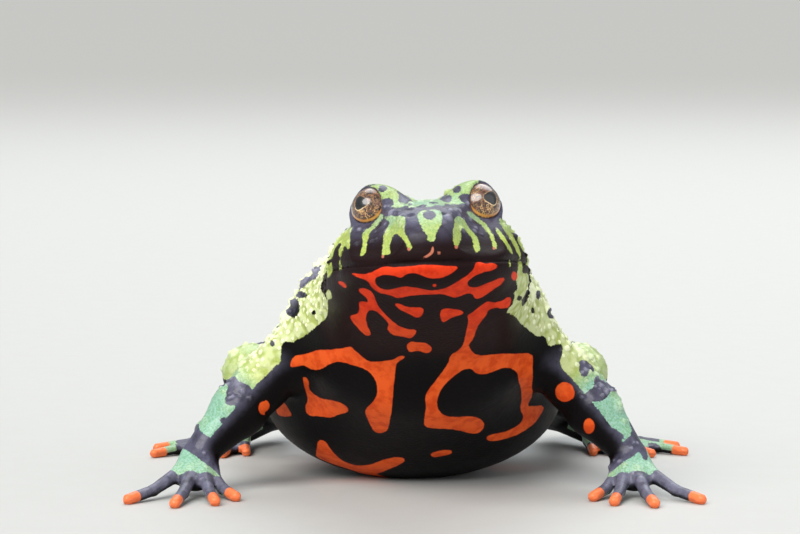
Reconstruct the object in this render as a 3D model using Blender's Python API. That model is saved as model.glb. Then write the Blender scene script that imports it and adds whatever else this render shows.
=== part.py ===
"""A fire-bellied toad at life size, sitting up on its hands with its head raised.

The toad faces -Y, its left side is at +X and it sits on the plane z = 0.
It is modelled whole in millimetres from named masses and bones, parted with
thin cuts into head, torso, limbs, hands and feet, and then scaled to metres.
"""
from math import atan2, cos, degrees, radians, sin

import bmesh
import bpy
import numpy as np
from mathutils import Matrix, Vector

MM = 0.001
GAP = 0.3
VOXEL = 0.24
BODY_TRIANGLES = 10500
FIT_STEPS = 5
REFIT_STEPS = 3
FIT_REACH = 0.6
FLAT_HEIGHT = 0.05
PROBE_CORNERS = ((1, 1, 1), (1, -1, -1), (-1, 1, -1), (-1, -1, 1))
FLOOR_ROUNDING = 0.12
LEAST_FACES = 40

# head masses: x to the left, y back from the lip, z up from the mouth line
HEAD_AT = (0.75, -31.0, 22.6)
HEAD_PITCH = -5.0
HEAD_ROLL = -2.2
HEAD_MASSES = {
    "skull": ((0, 10.6, 1.1), (7.9, 8.2, 4.25), 0),
    "snout": ((0, 5.6, 1.5), (6.0, 6.0, 3.3), 0),
    "jaw": ((0, 8.4, -1.3), (7.9, 8.2, 2.6), -6),
    "throat": ((0, 11.5, -4.0), (7.4, 8.0, 3.6), -20),
    "cheek_left": ((5.3, 12.3, -1.4), (3.4, 4.6, 3.2), 0),
    "cheek_right": ((-5.6, 12.3, -1.4), (3.4, 4.6, 3.2), 0),
}
HEAD_BLEND = 2.2
BROW_BLEND = 1.3
EYE_RADIUS = 1.85
EYE_SEGMENTS = 18
EYE_RINGS = 11
# the way each eye looks, from straight ahead out to its side and up
EYE_OUT = 46.0
EYE_UP = 10.0
LID_THICK = 0.5
LID_EDGE = 0.95
LID_OPEN = 1.62
LID_FLARE = 0.55
LID_BLEND = 0.6
LID_ROUND = 0.55
# the mouth: a groove along the head's sides, between full lips
MOUTH_WIDTH = 0.3
MOUTH_DEPTH = 0.55
MOUTH_END = (11.0, 12.8)
MOUTH_DROP = 0.35
LIP_UPPER = (0.62, 0.40, 0.20)
LIP_LOWER = (-0.58, 0.38, 0.12)
NOSTRIL_AT = (1.35, 1.2, 4.2)
NOSTRIL_R = 0.36
EYE_AT = (4.65, 8.3, 4.85)
BROW_AT = (3.9, 9.0, 4.6)
BROW_RADII = (2.4, 2.9, 2.3)

# body masses: centre, radii and pitch in degrees, nose up
BODY_MASSES = {
    "neck": ((0.3, -15.2, 18.0), (8.6, 7.0, 5.8), 30),
    "chest": ((0.0, -10.8, 13.3), (10.3, 8.5, 7.9), 35),
    "shoulder_left": ((6.0, -9.5, 16.1), (5.2, 6.5, 4.8), 25),
    "shoulder_right": ((-5.9, -9.5, 16.0), (5.0, 6.5, 4.7), 25),
    "belly": ((-0.5, -0.5, 7.6), (14.0, 11.5, 8.0), 0),
    "back": ((-0.6, 0.0, 10.8), (11.9, 12.5, 7.6), 18),
    "pelvis": ((-1.0, 10.5, 6.9), (8.0, 8.0, 5.6), 10),
}
BODY_BLEND = 3.5
NECK_BLEND = 2.5

# limbs: joints in the toad's own frame, the left side at +X
ARMS = {
    "left": {
        "shoulder": (8.3, -10.4, 15.2),
        "elbow": (14.0, -9.5, 9.7),
        "wrist": (19.2, -12.4, 3.5),
        "tips": ((-3.6, -5.6), (-1.9, -8.2), (1.6, -9.4), (5.9, -7.2)),
    },
    "right": {
        "shoulder": (-8.5, -10.4, 15.2),
        "elbow": (-14.3, -9.5, 9.6),
        "wrist": (-20.0, -12.4, 3.5),
        "tips": ((3.6, -5.6), (1.9, -8.2), (-1.6, -9.4), (-5.9, -7.2)),
    },
}
SHOULDER_R = 2.9
ELBOW_R = 2.4
FOREARM_R = 2.45
WRIST_R = 1.45
LEGS = {
    "left": {
        "hip": (3.6, 13.8, 7.2),
        "knee": (15.4, 6.4, 8.6),
        "ankle": (13.6, 21.0, 2.8),
        "sole": (17.8, 15.4, 1.5),
        "aim": -42.0,
    },
    "right": {
        "hip": (-5.0, 13.8, 7.2),
        "knee": (-15.9, 6.4, 8.6),
        "ankle": (-14.2, 21.0, 2.8),
        "sole": (-18.0, 15.0, 1.5),
        "aim": -50.0,
    },
}
HIP_R = 4.2
KNEE_R = 2.9
CALF_R = 2.6
ANKLE_R = 1.5
TOES = ((-46, 4.0), (-26, 5.8), (-8, 7.8), (10, 9.4), (30, 7.2))
TOE_STEP = 0.55
TOE_SPREAD = 1.1
FINGER_RADII = (0.68, 0.51, 0.5)
TOE_RADII = (0.72, 0.5, 0.45)
DIGIT_REST = 0.42
WEB_HALF = 0.27
WEB_REACH = 0.72
# the part of the space in which each limb is worked out
LIMB_INNER = 0.3
ARM_Y = (-26.0, 4.0)
LEG_Y = (-4.0, 30.0)

# the thin plates that part the body: their places, directions and half sizes
NECK_CUT = (0.2, -17.6, 18.6)
NECK_NORMAL = (0, -0.80, 0.60)
NECK_HALVES = (11.5, 11.0)
SHOULDER_CUTS = {"left": (12.4, -9.9, 11.5), "right": (-13.2, -9.9, 11.2)}
SHOULDER_NORMAL = (0.82, -0.41, -0.40)
SHOULDER_HALF = 3.8
ELBOW_HALF = 3.4
ELBOW_SHARE = 0.08
WRIST_SHARE = 0.94
WRIST_NORMAL = (0, -0.2, -0.98)
WRIST_HALF = 2.9
HIP_INSET = 4.0
HIP_CUT = (11.4, 7.9)
HIP_NORMAL = (0.964, 0.266, 0)
HIP_HALVES = (10.0, 8.2)
# folded joints: how far each plate goes out, into the fold and up and down
KNEE_PLATE = (4.6, 12.0, 5.6)
ANKLE_PLATE = (2.4, 8.0, 2.4)

# warts: a few hundred small ones in life, the larger ones here
WART_SEED = 11
WART_COUNT = 140
WART_TRIES = 4000
WART_BOX = ((-20.0, -32.0, 2.0), (20.0, 22.0, 30.0))
WART_R = (0.7, 1.25)
WART_HEIGHT = 0.5
WART_APART = 0.85
WART_UP = 0.05
PLATE_CLEAR = 1.3
BACK_UP = (0.0, 0.5, 0.87)

SKIN_GREEN = (0.30, 0.52, 0.17)
BELLY_RED = (0.75, 0.12, 0.03)
EYE_BRONZE = (0.35, 0.22, 0.09)


def turn(pitch=0.0, roll=0.0, yaw=0.0):
    about_x = Matrix.Rotation(radians(pitch), 3, "X")
    about_y = Matrix.Rotation(radians(roll), 3, "Y")
    about_z = Matrix.Rotation(radians(yaw), 3, "Z")
    return np.array(about_z @ about_x @ about_y)


HEAD_TURN = turn(pitch=HEAD_PITCH, roll=HEAD_ROLL)


def from_head(point):
    return np.asarray(point, float) @ HEAD_TURN.T + np.asarray(HEAD_AT)


def side_of(name):
    return 1.0 if name == "left" else -1.0


def sided(direction, name):
    """A direction given for the left side, mirrored for the right."""
    return (direction[0] * side_of(name), direction[1], direction[2])


def ellipsoid(points, centre, radii, axes=None):
    local = points - np.asarray(centre, float)
    if axes is not None:
        local = local @ axes
    radii = np.asarray(radii, float)
    outer = np.linalg.norm(local / radii, axis=1)
    slope = np.linalg.norm(local / (radii * radii), axis=1) + 1e-9
    return outer * (outer - 1.0) / slope


def bone(points, start, end, start_r, end_r):
    start = np.asarray(start, float)
    along = np.asarray(end, float) - start
    share = np.clip((points - start) @ along / (along @ along), 0, 1)
    offset = points - start - share[:, None] * along
    return np.linalg.norm(offset, axis=1) - (start_r + (end_r - start_r) * share)


def blend(first, second, width):
    near = np.maximum(width - np.abs(first - second), 0.0) / width
    return np.minimum(first, second) - near * near * width * 0.25


def carve(first, second, width):
    return -blend(-first, -second, width)


def chain(points, joints, radii, width):
    shape = None
    for index in range(len(joints) - 1):
        link = bone(points, joints[index], joints[index + 1], radii[index], radii[index + 1])
        shape = link if shape is None else blend(shape, link, width)
    return shape


def sheet(points, a, b, c):
    """Distance to a flat triangle, for the webs between the toes."""
    a, b, c = (np.asarray(corner, float) for corner in (a, b, c))
    normal = np.cross(b - a, a - c)
    best = None
    signs = 0.0
    for start, end in ((a, b), (b, c), (c, a)):
        edge = end - start
        local = points - start
        signs = signs + np.sign(local @ np.cross(edge, normal))
        share = np.clip(local @ edge / (edge @ edge), 0, 1)
        gap = ((local - share[:, None] * edge) ** 2).sum(axis=1)
        best = gap if best is None else np.minimum(best, gap)
    inside = ((points - a) @ normal) ** 2 / (normal @ normal)
    return np.sqrt(np.where(signs < 2.0, best, inside))


def between(start, end, share):
    return np.asarray(start, float) * (1 - share) + np.asarray(end, float) * share


def fingers(arm):
    wrist = np.asarray(arm["wrist"], float)
    rows = []
    for tip in arm["tips"]:
        end = np.array([wrist[0] + tip[0], wrist[1] + tip[1], DIGIT_REST])
        root = between((wrist[0], wrist[1], 0), end, 0.27)
        root[2] = 2.1
        middle = between(root, end, 0.52)
        middle[2] = 0.85
        rows.append([root, middle, end])
    return rows


def palm(arm):
    wrist = np.asarray(arm["wrist"], float)
    aim = np.mean(np.asarray(arm["tips"], float), axis=0)
    aim = aim / np.linalg.norm(aim)
    centre = (wrist[0] + aim[0] * 1.8, wrist[1] + aim[1] * 1.8, 2.2)
    return centre, (2.1, 2.5, 1.15), turn(pitch=32, yaw=degrees(atan2(aim[0], -aim[1])))


def toes(leg, side):
    sole = np.asarray(leg["sole"], float)
    aim = radians(leg["aim"])
    across = np.array([-side * sin(aim), cos(aim), 0.0])
    rows = []
    for index, (spread, length) in enumerate(TOES):
        angle = aim + radians(spread)
        heading = np.array([side * cos(angle), sin(angle), 0.0])
        root = sole + across * (TOE_STEP * index - TOE_SPREAD)
        root[2] = 0.95
        end = root + heading * length
        middle = root + heading * length * 0.5
        middle[2] = 0.75
        end[2] = DIGIT_REST
        rows.append([root, middle, end])
    return rows


def web_corners(rows):
    sheets = []
    for first, second in zip(rows[:-1], rows[1:]):
        reach_a = between(first[0], first[2], WEB_REACH)
        reach_b = between(second[0], second[2], WEB_REACH)
        sheets.append((first[0], reach_a, reach_b))
        sheets.append((first[0], reach_b, second[0]))
    return sheets


def arm_bones(arm):
    middle = between(arm["elbow"], arm["wrist"], 0.38)
    return [
        (arm["shoulder"], arm["elbow"], SHOULDER_R, ELBOW_R),
        (arm["elbow"], middle, ELBOW_R, FOREARM_R),
        (middle, arm["wrist"], FOREARM_R, WRIST_R),
    ]


def leg_bones(leg):
    thigh = between(leg["hip"], leg["knee"], 0.55)
    calf = between(leg["knee"], leg["ankle"], 0.38)
    return [
        (leg["hip"], thigh, HIP_R, HIP_R * 0.93),
        (thigh, leg["knee"], HIP_R * 0.93, KNEE_R),
        (leg["knee"], calf, KNEE_R * 0.85, CALF_R),
        (calf, leg["ankle"], CALF_R, ANKLE_R),
        (leg["ankle"], leg["sole"], ANKLE_R * 0.95, 1.3),
    ]


def digit_bones(rows, radii):
    found = []
    for root, middle, end in rows:
        found.append((root, middle, radii[0], radii[1]))
        found.append((middle, end, radii[1], radii[2]))
    return found


def arm_shape(points, arm):
    links = [bone(points, *link) for link in arm_bones(arm)]
    limb = blend(links[0], blend(links[1], links[2], 0.8), 1.0)
    centre, radii, axes = palm(arm)
    hand = ellipsoid(points, centre, radii, axes)
    for row in fingers(arm):
        hand = blend(hand, chain(points, row, FINGER_RADII, 0.2), 0.45)
    return blend(limb, hand, 1.1), links[0]


def leg_shape(points, leg, side):
    links = [bone(points, *link) for link in leg_bones(leg)]
    thigh = blend(links[0], links[1], 1.0)
    calf = blend(links[2], links[3], 0.8)
    rows = toes(leg, side)
    foot = links[4]
    for row in rows:
        foot = blend(foot, chain(points, row, TOE_RADII, 0.2), 0.5)
    for corners in web_corners(rows):
        foot = blend(foot, sheet(points, *corners) - WEB_HALF, 0.3)
    return blend(blend(thigh, calf, 0.6), foot, 0.7), thigh


def limb_near(points, side, reach_y):
    """The points at a limb's side of the body, where its shape is worked out."""
    beside = points[:, 0] * side > LIMB_INNER
    return beside & (points[:, 1] > reach_y[0]) & (points[:, 1] < reach_y[1])


def eye_axis(side):
    out, up = radians(EYE_OUT), radians(EYE_UP)
    return np.array([side * sin(out) * cos(up), -cos(out) * cos(up), sin(up)])


def lids(local, head, side):
    """Lids that wrap the eye, open round the way that it looks."""
    centre = np.array([EYE_AT[0] * side, EYE_AT[1], EYE_AT[2]])
    offset = local - centre
    axis = eye_axis(side)
    along = offset @ axis
    around = np.linalg.norm(offset - along[:, None] * axis, axis=1)
    wrap = np.linalg.norm(offset, axis=1) - (EYE_RADIUS + GAP + LID_THICK)
    flare = around - LID_OPEN - LID_FLARE * (along - LID_EDGE)
    opening = carve(LID_EDGE - along, flare, LID_ROUND)
    return carve(blend(head, wrap, LID_BLEND), -opening, LID_ROUND)


def flesh(points):
    """Signed distance to the toad's skin, negative inside."""
    body = trunk_shape(points)
    whole = body.copy()
    for name, arm in ARMS.items():
        near = limb_near(points, side_of(name), ARM_Y)
        if near.any():
            limb, upper = arm_shape(points[near], arm)
            whole[near] = np.minimum(blend(whole[near], upper, 2.2), limb)
    for name, leg in LEGS.items():
        side = side_of(name)
        near = limb_near(points, side, LEG_Y)
        if near.any():
            limb, thigh = leg_shape(points[near], leg, side)
            whole[near] = np.minimum(blend(whole[near], thigh, 1.6), limb)
    return carve(whole, -points[:, 2], FLOOR_ROUNDING)


def trunk_shape(points):
    """Head and body, blended into one mass."""
    local = (points - np.asarray(HEAD_AT)) @ HEAD_TURN
    head = None
    for centre, radii, pitch in HEAD_MASSES.values():
        mass = ellipsoid(local, centre, radii, turn(pitch=pitch))
        head = mass if head is None else blend(head, mass, HEAD_BLEND)
    for side in (1.0, -1.0):
        centre = (BROW_AT[0] * side, BROW_AT[1], BROW_AT[2])
        head = blend(head, ellipsoid(local, centre, BROW_RADII), BROW_BLEND)
        head = lids(local, head, side)
    body = None
    for centre, radii, pitch in BODY_MASSES.values():
        mass = ellipsoid(points, centre, radii, turn(pitch=-pitch))
        body = mass if body is None else blend(body, mass, BODY_BLEND)
    return blend(head, body, NECK_BLEND)


def add_placed(mesh, make, place):
    """Adds one primitive, made at the origin in a mesh of its own, at its place."""
    single = bmesh.new()
    make(single)
    single.transform(place)
    data = bpy.data.meshes.new("primitive")
    single.to_mesh(data)
    single.free()
    mesh.from_mesh(data)
    bpy.data.meshes.remove(data)


def add_ball(mesh, centre, radii, axes, segments=20, rings=12):
    rotation = Matrix(axes.tolist()).to_4x4()
    place = Matrix.Translation(Vector(centre)) @ rotation @ Matrix.Diagonal((*radii, 1.0))

    def make(single):
        bmesh.ops.create_uvsphere(single, u_segments=segments, v_segments=rings, radius=1.0)

    add_placed(mesh, make, place)


def add_bone(mesh, start, end, start_r, end_r):
    start, end = Vector(start), Vector(end)
    along = end - start
    rotation = along.to_track_quat("Z", "Y").to_matrix().to_4x4()
    place = Matrix.Translation((start + end) / 2) @ rotation

    def make(single):
        bmesh.ops.create_cone(
            single,
            cap_ends=True,
            segments=16,
            radius1=start_r,
            radius2=end_r,
            depth=along.length,
        )

    add_placed(mesh, make, place)
    level = np.eye(3)
    add_ball(mesh, start, (start_r,) * 3, level, 16, 8)
    add_ball(mesh, end, (end_r,) * 3, level, 16, 8)


def add_sheet(mesh, corners, half):
    lower = [mesh.verts.new(Vector(corner) - Vector((0, 0, half))) for corner in corners]
    upper = [mesh.verts.new(Vector(corner) + Vector((0, 0, half))) for corner in corners]
    mesh.faces.new(upper)
    mesh.faces.new(lower[::-1])
    for index in range(3):
        after = (index + 1) % 3
        mesh.faces.new((lower[index], lower[after], upper[after], upper[index]))


def new_object(name, mesh):
    data = bpy.data.meshes.new(name)
    bmesh.ops.recalc_face_normals(mesh, faces=mesh.faces)
    mesh.to_mesh(data)
    mesh.free()
    obj = bpy.data.objects.new(name, data)
    bpy.context.scene.collection.objects.link(obj)
    return obj


def apply_modifiers(obj):
    graph = bpy.context.evaluated_depsgraph_get()
    graph.update()
    shaped = bpy.data.meshes.new_from_object(obj.evaluated_get(graph))
    old = obj.data
    obj.modifiers.clear()
    obj.data = shaped
    bpy.data.meshes.remove(old)


def remesh(obj, voxel):
    modifier = obj.modifiers.new("remesh", "REMESH")
    modifier.mode = "VOXEL"
    modifier.voxel_size = voxel
    apply_modifiers(obj)


def fit(obj, shape, steps):
    """Moves the vertices onto the surface where the shape's distance is zero."""
    count = len(obj.data.vertices)
    flat = np.empty(count * 3)
    obj.data.vertices.foreach_get("co", flat)
    points = flat.reshape(-1, 3)
    for _ in range(steps):
        value, slope = probe_shape(points, shape)
        size = (slope * slope).sum(axis=1)
        move = np.clip(value / np.maximum(size, 0.2), -FIT_REACH, FIT_REACH)
        points = points - slope * move[:, None]
    points[points[:, 2] < FLAT_HEIGHT, 2] = 0.0
    obj.data.vertices.foreach_set("co", points.ravel())
    obj.data.update()


def probe_shape(points, shape=None, probe=0.02):
    """Distance and slope of a shape at the points, from four probes round each."""
    shape = shape or flesh
    slope = np.zeros_like(points)
    value = np.zeros(len(points))
    for corner in PROBE_CORNERS:
        offset = np.array(corner) * probe
        found = shape(points + offset)
        slope += found[:, None] * np.array(corner) / (4 * probe)
        value += found / 4
    return value, slope


def on_skin(point):
    """The place on the skin nearest to a point."""
    place = np.asarray(point, float)[None, :]
    for _ in range(6):
        value, slope = probe_shape(place)
        place = place - slope * value[:, None]
    return place[0]


def warty(points, slope):
    """How warty the skin is: the back, the head's top and sides, the limbs' upper sides."""
    body_up = slope @ np.array(BACK_UP)
    local = (points - np.asarray(HEAD_AT)) @ HEAD_TURN
    on_head = (local[:, 1] < 13.0) & (local[:, 2] > -4.0) & (np.abs(local[:, 0]) < 10.0)
    head_up = (local[:, 2] > 1.0) & (local[:, 1] > 3.0)
    near_eye = np.zeros(len(points), bool)
    for side in (1.0, -1.0):
        near_eye |= np.linalg.norm(points - eye_centre(side), axis=1) < EYE_RADIUS + 1.5
    low = points[:, 2] < 3.2
    up = np.where(on_head, head_up, body_up > WART_UP)
    return up & ~low & ~near_eye & ~near_plate(points)


def wart_places():
    """Centres, directions, radii and heights of the warts, spread unevenly over the back."""
    dice = np.random.RandomState(WART_SEED)
    low, high = np.array(WART_BOX[0]), np.array(WART_BOX[1])
    starts = low + dice.random_sample((WART_TRIES, 3)) * (high - low)
    places = starts
    for _ in range(10):
        value, slope = probe_shape(places)
        size = np.maximum((slope * slope).sum(axis=1), 0.2)
        places = places - slope * (np.clip(value, -3, 3) / size)[:, None]
    value, slope = probe_shape(places)
    slope /= np.linalg.norm(slope, axis=1)[:, None]
    good = (np.abs(value) < 0.05) & warty(places, slope)
    warts = []
    for place, up in zip(places[good], slope[good]):
        radius = WART_R[0] + (WART_R[1] - WART_R[0]) * dice.random_sample() ** 2
        if all(np.linalg.norm(place - other[0]) > WART_APART * (radius + other[2]) for other in warts):
            warts.append((place, up, radius, radius * WART_HEIGHT))
        if len(warts) == WART_COUNT:
            break
    return warts


def mouth_lift(points, slope):
    """The line of the mouth sunk between full lips, fading out at its corners."""
    local = (points - np.asarray(HEAD_AT)) @ HEAD_TURN
    facing = np.clip(1.4 - np.abs(slope @ HEAD_TURN[:, 2]), 0, 1)
    fade = np.clip((MOUTH_END[1] - local[:, 1]) / (MOUTH_END[1] - MOUTH_END[0]), 0, 1)
    level = local[:, 2] + MOUTH_DROP * np.clip(local[:, 1] / MOUTH_END[0], 0, 1) ** 3
    lift = -MOUTH_DEPTH * np.exp(-((level / MOUTH_WIDTH) ** 2))
    for height, width, full in (LIP_UPPER, LIP_LOWER):
        lift += full * np.exp(-(((level - height) / width) ** 2))
    return lift * fade * facing


def raise_details(obj, warts):
    """Moves the skin out over the warts and lips and in along the mouth."""
    count = len(obj.data.vertices)
    flat = np.empty(count * 3)
    obj.data.vertices.foreach_get("co", flat)
    points = flat.reshape(-1, 3)
    slope = probe_shape(points)[1]
    slope /= np.linalg.norm(slope, axis=1)[:, None] + 1e-9
    lift = slope * mouth_lift(points, slope)[:, None]
    for place, up, radius, height in warts:
        offset = points - place
        share = (offset * offset).sum(axis=1) / radius**2
        near = share < 1
        lift[near] += up * (height * (1 - share[near]) ** 2)[:, None]
    obj.data.vertices.foreach_set("co", (points + lift).ravel())
    obj.data.update()


def decimate(obj, triangles):
    obj.data.calc_loop_triangles()
    count = len(obj.data.loop_triangles)
    modifier = obj.modifiers.new("decimate", "DECIMATE")
    modifier.ratio = min(1.0, triangles / count)
    apply_modifiers(obj)


def cut(obj, cutter):
    """Takes the cutter out of the object. The exact solver loses the body here."""
    modifier = obj.modifiers.new("cut", "BOOLEAN")
    modifier.operation = "DIFFERENCE"
    modifier.solver = "MANIFOLD"
    modifier.object = cutter
    apply_modifiers(obj)
    bpy.data.objects.remove(cutter)


def plate(centre, normal, half_width, half_height, upright=(0, 0, 1)):
    """A thin plate across a joint, as its centre, its axes and its half sizes."""
    normal = Vector(normal).normalized()
    side = normal.cross(Vector(upright)).normalized()
    up = side.cross(normal).normalized()
    return Vector(centre), (side, up, normal), (half_width, half_height)


def joint_plate(before, joint, after, half, share=0.0):
    """A square plate across a joint that is nearly straight."""
    before, joint, after = Vector(before), Vector(joint), Vector(after)
    normal = (joint - before).normalized() + (after - joint).normalized()
    return plate(joint + (after - joint) * share, normal, half, half)


def fold_plate(before, joint, after, back, reach, half):
    """A plate through a sharply bent joint, from its outer side into the fold."""
    joint = Vector(joint)
    first = (Vector(before) - joint).normalized()
    second = (Vector(after) - joint).normalized()
    inward = (first + second).normalized()
    normal = (first - second).normalized()
    centre = joint + inward * (reach - back) / 2
    return plate(centre, normal, (reach + back) / 2, half, normal.cross(inward))


def plates():
    """Every plate that parts the toad into its nodes."""
    found = [plate(NECK_CUT, NECK_NORMAL, *NECK_HALVES)]
    for name, arm in ARMS.items():
        outward = sided(SHOULDER_NORMAL, name)
        found.append(plate(SHOULDER_CUTS[name], outward, SHOULDER_HALF, SHOULDER_HALF))
        shoulder, elbow, wrist = arm["shoulder"], arm["elbow"], arm["wrist"]
        found.append(joint_plate(shoulder, elbow, wrist, ELBOW_HALF, ELBOW_SHARE))
        place = between(elbow, wrist, WRIST_SHARE)
        found.append(plate(place, WRIST_NORMAL, WRIST_HALF, WRIST_HALF, (0, 1, 0)))
    for name, leg in LEGS.items():
        inner = leg["knee"][0] - HIP_INSET * side_of(name)
        found.append(plate((inner, *HIP_CUT), sided(HIP_NORMAL, name), *HIP_HALVES))
        hip, knee, ankle, sole = leg["hip"], leg["knee"], leg["ankle"], leg["sole"]
        found.append(fold_plate(hip, knee, ankle, *KNEE_PLATE))
        found.append(fold_plate(knee, ankle, sole, *ANKLE_PLATE))
    return found


def cut_joints(whole):
    """Cuts with one plate after another, because some of them cross."""
    for centre, axes, halves in plates():
        mesh = bmesh.new()
        rotation = Matrix(axes).transposed().to_4x4()
        size = Matrix.Diagonal((halves[0] * 2, halves[1] * 2, GAP, 1.0))
        place = Matrix.Translation(centre) @ rotation @ size
        bmesh.ops.create_cube(mesh, size=1.0, matrix=place)
        cut(whole, new_object("plate", mesh))


def near_plate(points):
    """Places beside a cut, where a wart would bridge it."""
    near = np.zeros(len(points), bool)
    for centre, axes, halves in plates():
        local = (points - np.array(centre)) @ np.array(axes).T
        inside = np.abs(local) < np.array([halves[0] + 1, halves[1] + 1, PLATE_CLEAR])
        near |= inside.all(axis=1)
    return near


def build_whole():
    mesh = bmesh.new()
    for centre, radii, pitch in HEAD_MASSES.values():
        add_ball(mesh, from_head(centre), radii, HEAD_TURN @ turn(pitch=pitch))
    for side in (1.0, -1.0):
        centre = (BROW_AT[0] * side, BROW_AT[1], BROW_AT[2])
        add_ball(mesh, from_head(centre), BROW_RADII, HEAD_TURN)
        add_ball(mesh, eye_centre(side), (EYE_RADIUS,) * 3, HEAD_TURN)
    for centre, radii, pitch in BODY_MASSES.values():
        add_ball(mesh, centre, radii, turn(pitch=-pitch), 32, 20)
    for arm in ARMS.values():
        for link in arm_bones(arm) + digit_bones(fingers(arm), FINGER_RADII):
            add_bone(mesh, *link)
        add_ball(mesh, *palm(arm))
    for name, leg in LEGS.items():
        rows = toes(leg, side_of(name))
        for link in leg_bones(leg) + digit_bones(rows, TOE_RADII):
            add_bone(mesh, *link)
        for corners in web_corners(rows):
            add_sheet(mesh, corners, WEB_HALF)
    whole = new_object("whole", mesh)
    remesh(whole, VOXEL)
    fit(whole, flesh, FIT_STEPS)
    remesh(whole, VOXEL)
    fit(whole, flesh, REFIT_STEPS)
    raise_details(whole, wart_places())
    return whole


def node_seeds():
    seeds = {"head": from_head((0, 8, 0)), "torso": (0, 0, 8)}
    for name, arm in ARMS.items():
        seeds["upper_arm_" + name] = between(arm["shoulder"], arm["elbow"], 0.85)
        seeds["forearm_" + name] = between(arm["elbow"], arm["wrist"], 0.5)
        centre = palm(arm)[0]
        seeds["hand_" + name] = (centre[0], centre[1] - 2.0, centre[2])
    for name, leg in LEGS.items():
        seeds["thigh_" + name] = between(leg["hip"], leg["knee"], 0.75)
        seeds["shank_" + name] = between(leg["knee"], leg["ankle"], 0.5)
        seeds["foot_" + name] = leg["sole"]
    return seeds


def islands(mesh):
    """The closed surfaces of a mesh, as lists of faces."""
    left = set(mesh.faces)
    found = []
    while left:
        start = left.pop()
        group = [start]
        waiting = [start]
        while waiting:
            face = waiting.pop()
            for edge in face.edges:
                for other in edge.link_faces:
                    if other in left:
                        left.remove(other)
                        group.append(other)
                        waiting.append(other)
        found.append(group)
    return found


def keep_faces(source, faces, name):
    mesh = bmesh.new()
    made = {}
    for face in faces:
        corners = []
        for vert in face.verts:
            if vert not in made:
                made[vert] = mesh.verts.new(vert.co)
            corners.append(made[vert])
        mesh.faces.new(corners)
    data = bpy.data.meshes.new(name)
    mesh.to_mesh(data)
    mesh.free()
    obj = bpy.data.objects.new(name, data)
    bpy.context.scene.collection.objects.link(obj)
    return obj


def part_into_nodes(whole):
    mesh = bmesh.new()
    mesh.from_mesh(whole.data)
    seeds = node_seeds()
    groups = {}
    for group in islands(mesh):
        points = {vert for face in group for vert in face.verts}
        centre = sum((vert.co for vert in points), Vector()) / len(points)
        name = min(seeds, key=lambda key: (Vector(seeds[key]) - centre).length)
        if len(group) > max(LEAST_FACES, len(groups.get(name, []))):
            groups[name] = group
    nodes = {name: keep_faces(mesh, group, name) for name, group in groups.items()}
    mesh.free()
    bpy.data.objects.remove(whole)
    return nodes


def eye_centre(side):
    return from_head((EYE_AT[0] * side, EYE_AT[1], EYE_AT[2]))


def place_eye(mesh, side, radius):
    axis = Vector(eye_axis(side))
    pole = np.array(axis.to_track_quat("Z", "Y").to_matrix())
    add_ball(mesh, eye_centre(side), (radius,) * 3, HEAD_TURN @ pole, EYE_SEGMENTS, EYE_RINGS)


def cut_sockets(whole):
    mesh = bmesh.new()
    for side in (1.0, -1.0):
        place_eye(mesh, side, EYE_RADIUS + GAP)
        nostril = on_skin(from_head((NOSTRIL_AT[0] * side, NOSTRIL_AT[1], NOSTRIL_AT[2])))
        add_ball(mesh, nostril, (NOSTRIL_R, NOSTRIL_R * 1.5, NOSTRIL_R), HEAD_TURN, 8, 6)
    cut(whole, new_object("sockets", mesh))


def build_eyes():
    nodes = {}
    for name in ("left", "right"):
        mesh = bmesh.new()
        place_eye(mesh, side_of(name), EYE_RADIUS)
        nodes["eye_" + name] = new_object("eye_" + name, mesh)
    return nodes


def material(name, colour, roughness):
    made = bpy.data.materials.new(name)
    made.use_nodes = True
    shader = made.node_tree.nodes["Principled BSDF"]
    shader.inputs["Base Color"].default_value = (*colour, 1.0)
    shader.inputs["Roughness"].default_value = roughness
    shader.inputs["Metallic"].default_value = 0.0
    return made


def outline_middle(nodes):
    """The middle of the toad's outline from above, which becomes the origin."""
    corners = [corner for obj in nodes.values() for corner in obj.bound_box]
    across = [corner[0] for corner in corners]
    along = [corner[1] for corner in corners]
    return (min(across) + max(across)) / 2, (min(along) + max(along)) / 2


def finish(nodes):
    middle = outline_middle(nodes)
    for name, obj in nodes.items():
        colour = SKIN_GREEN
        if name == "torso":
            colour = BELLY_RED
        if name.startswith("eye"):
            colour = EYE_BRONZE
        obj.data.materials.clear()
        obj.data.materials.append(material(name + "_skin", colour, 0.35))
        shift = Matrix.Translation((-middle[0], -middle[1], 0))
        obj.data.transform(Matrix.Scale(MM, 4) @ shift)
        obj.data.shade_smooth()
        obj.data.set_sharp_from_angle(angle=radians(50))
    return middle


def main():
    for obj in list(bpy.data.objects):
        bpy.data.objects.remove(obj)
    whole = build_whole()
    decimate(whole, BODY_TRIANGLES)
    cut_sockets(whole)
    cut_joints(whole)
    nodes = part_into_nodes(whole)
    nodes.update(build_eyes())
    finish(nodes)


main()
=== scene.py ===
"""The looks of a fire-bellied toad that sits up on its hands, facing -Y.

One skin of its own stands for all the flesh solids, shaped in millimetres from
the same named masses and bones, with warts, lids, lips and nostrils, and the
eyes are pieces of their own. The markings are kept in the skin's attributes as
distances in millimetres to the edge of each colour.
"""
from math import atan2, cos, degrees, pi, radians, sin

import bpy
import numpy as np
from mathutils import Matrix, Vector
from mathutils.kdtree import KDTree


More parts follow.
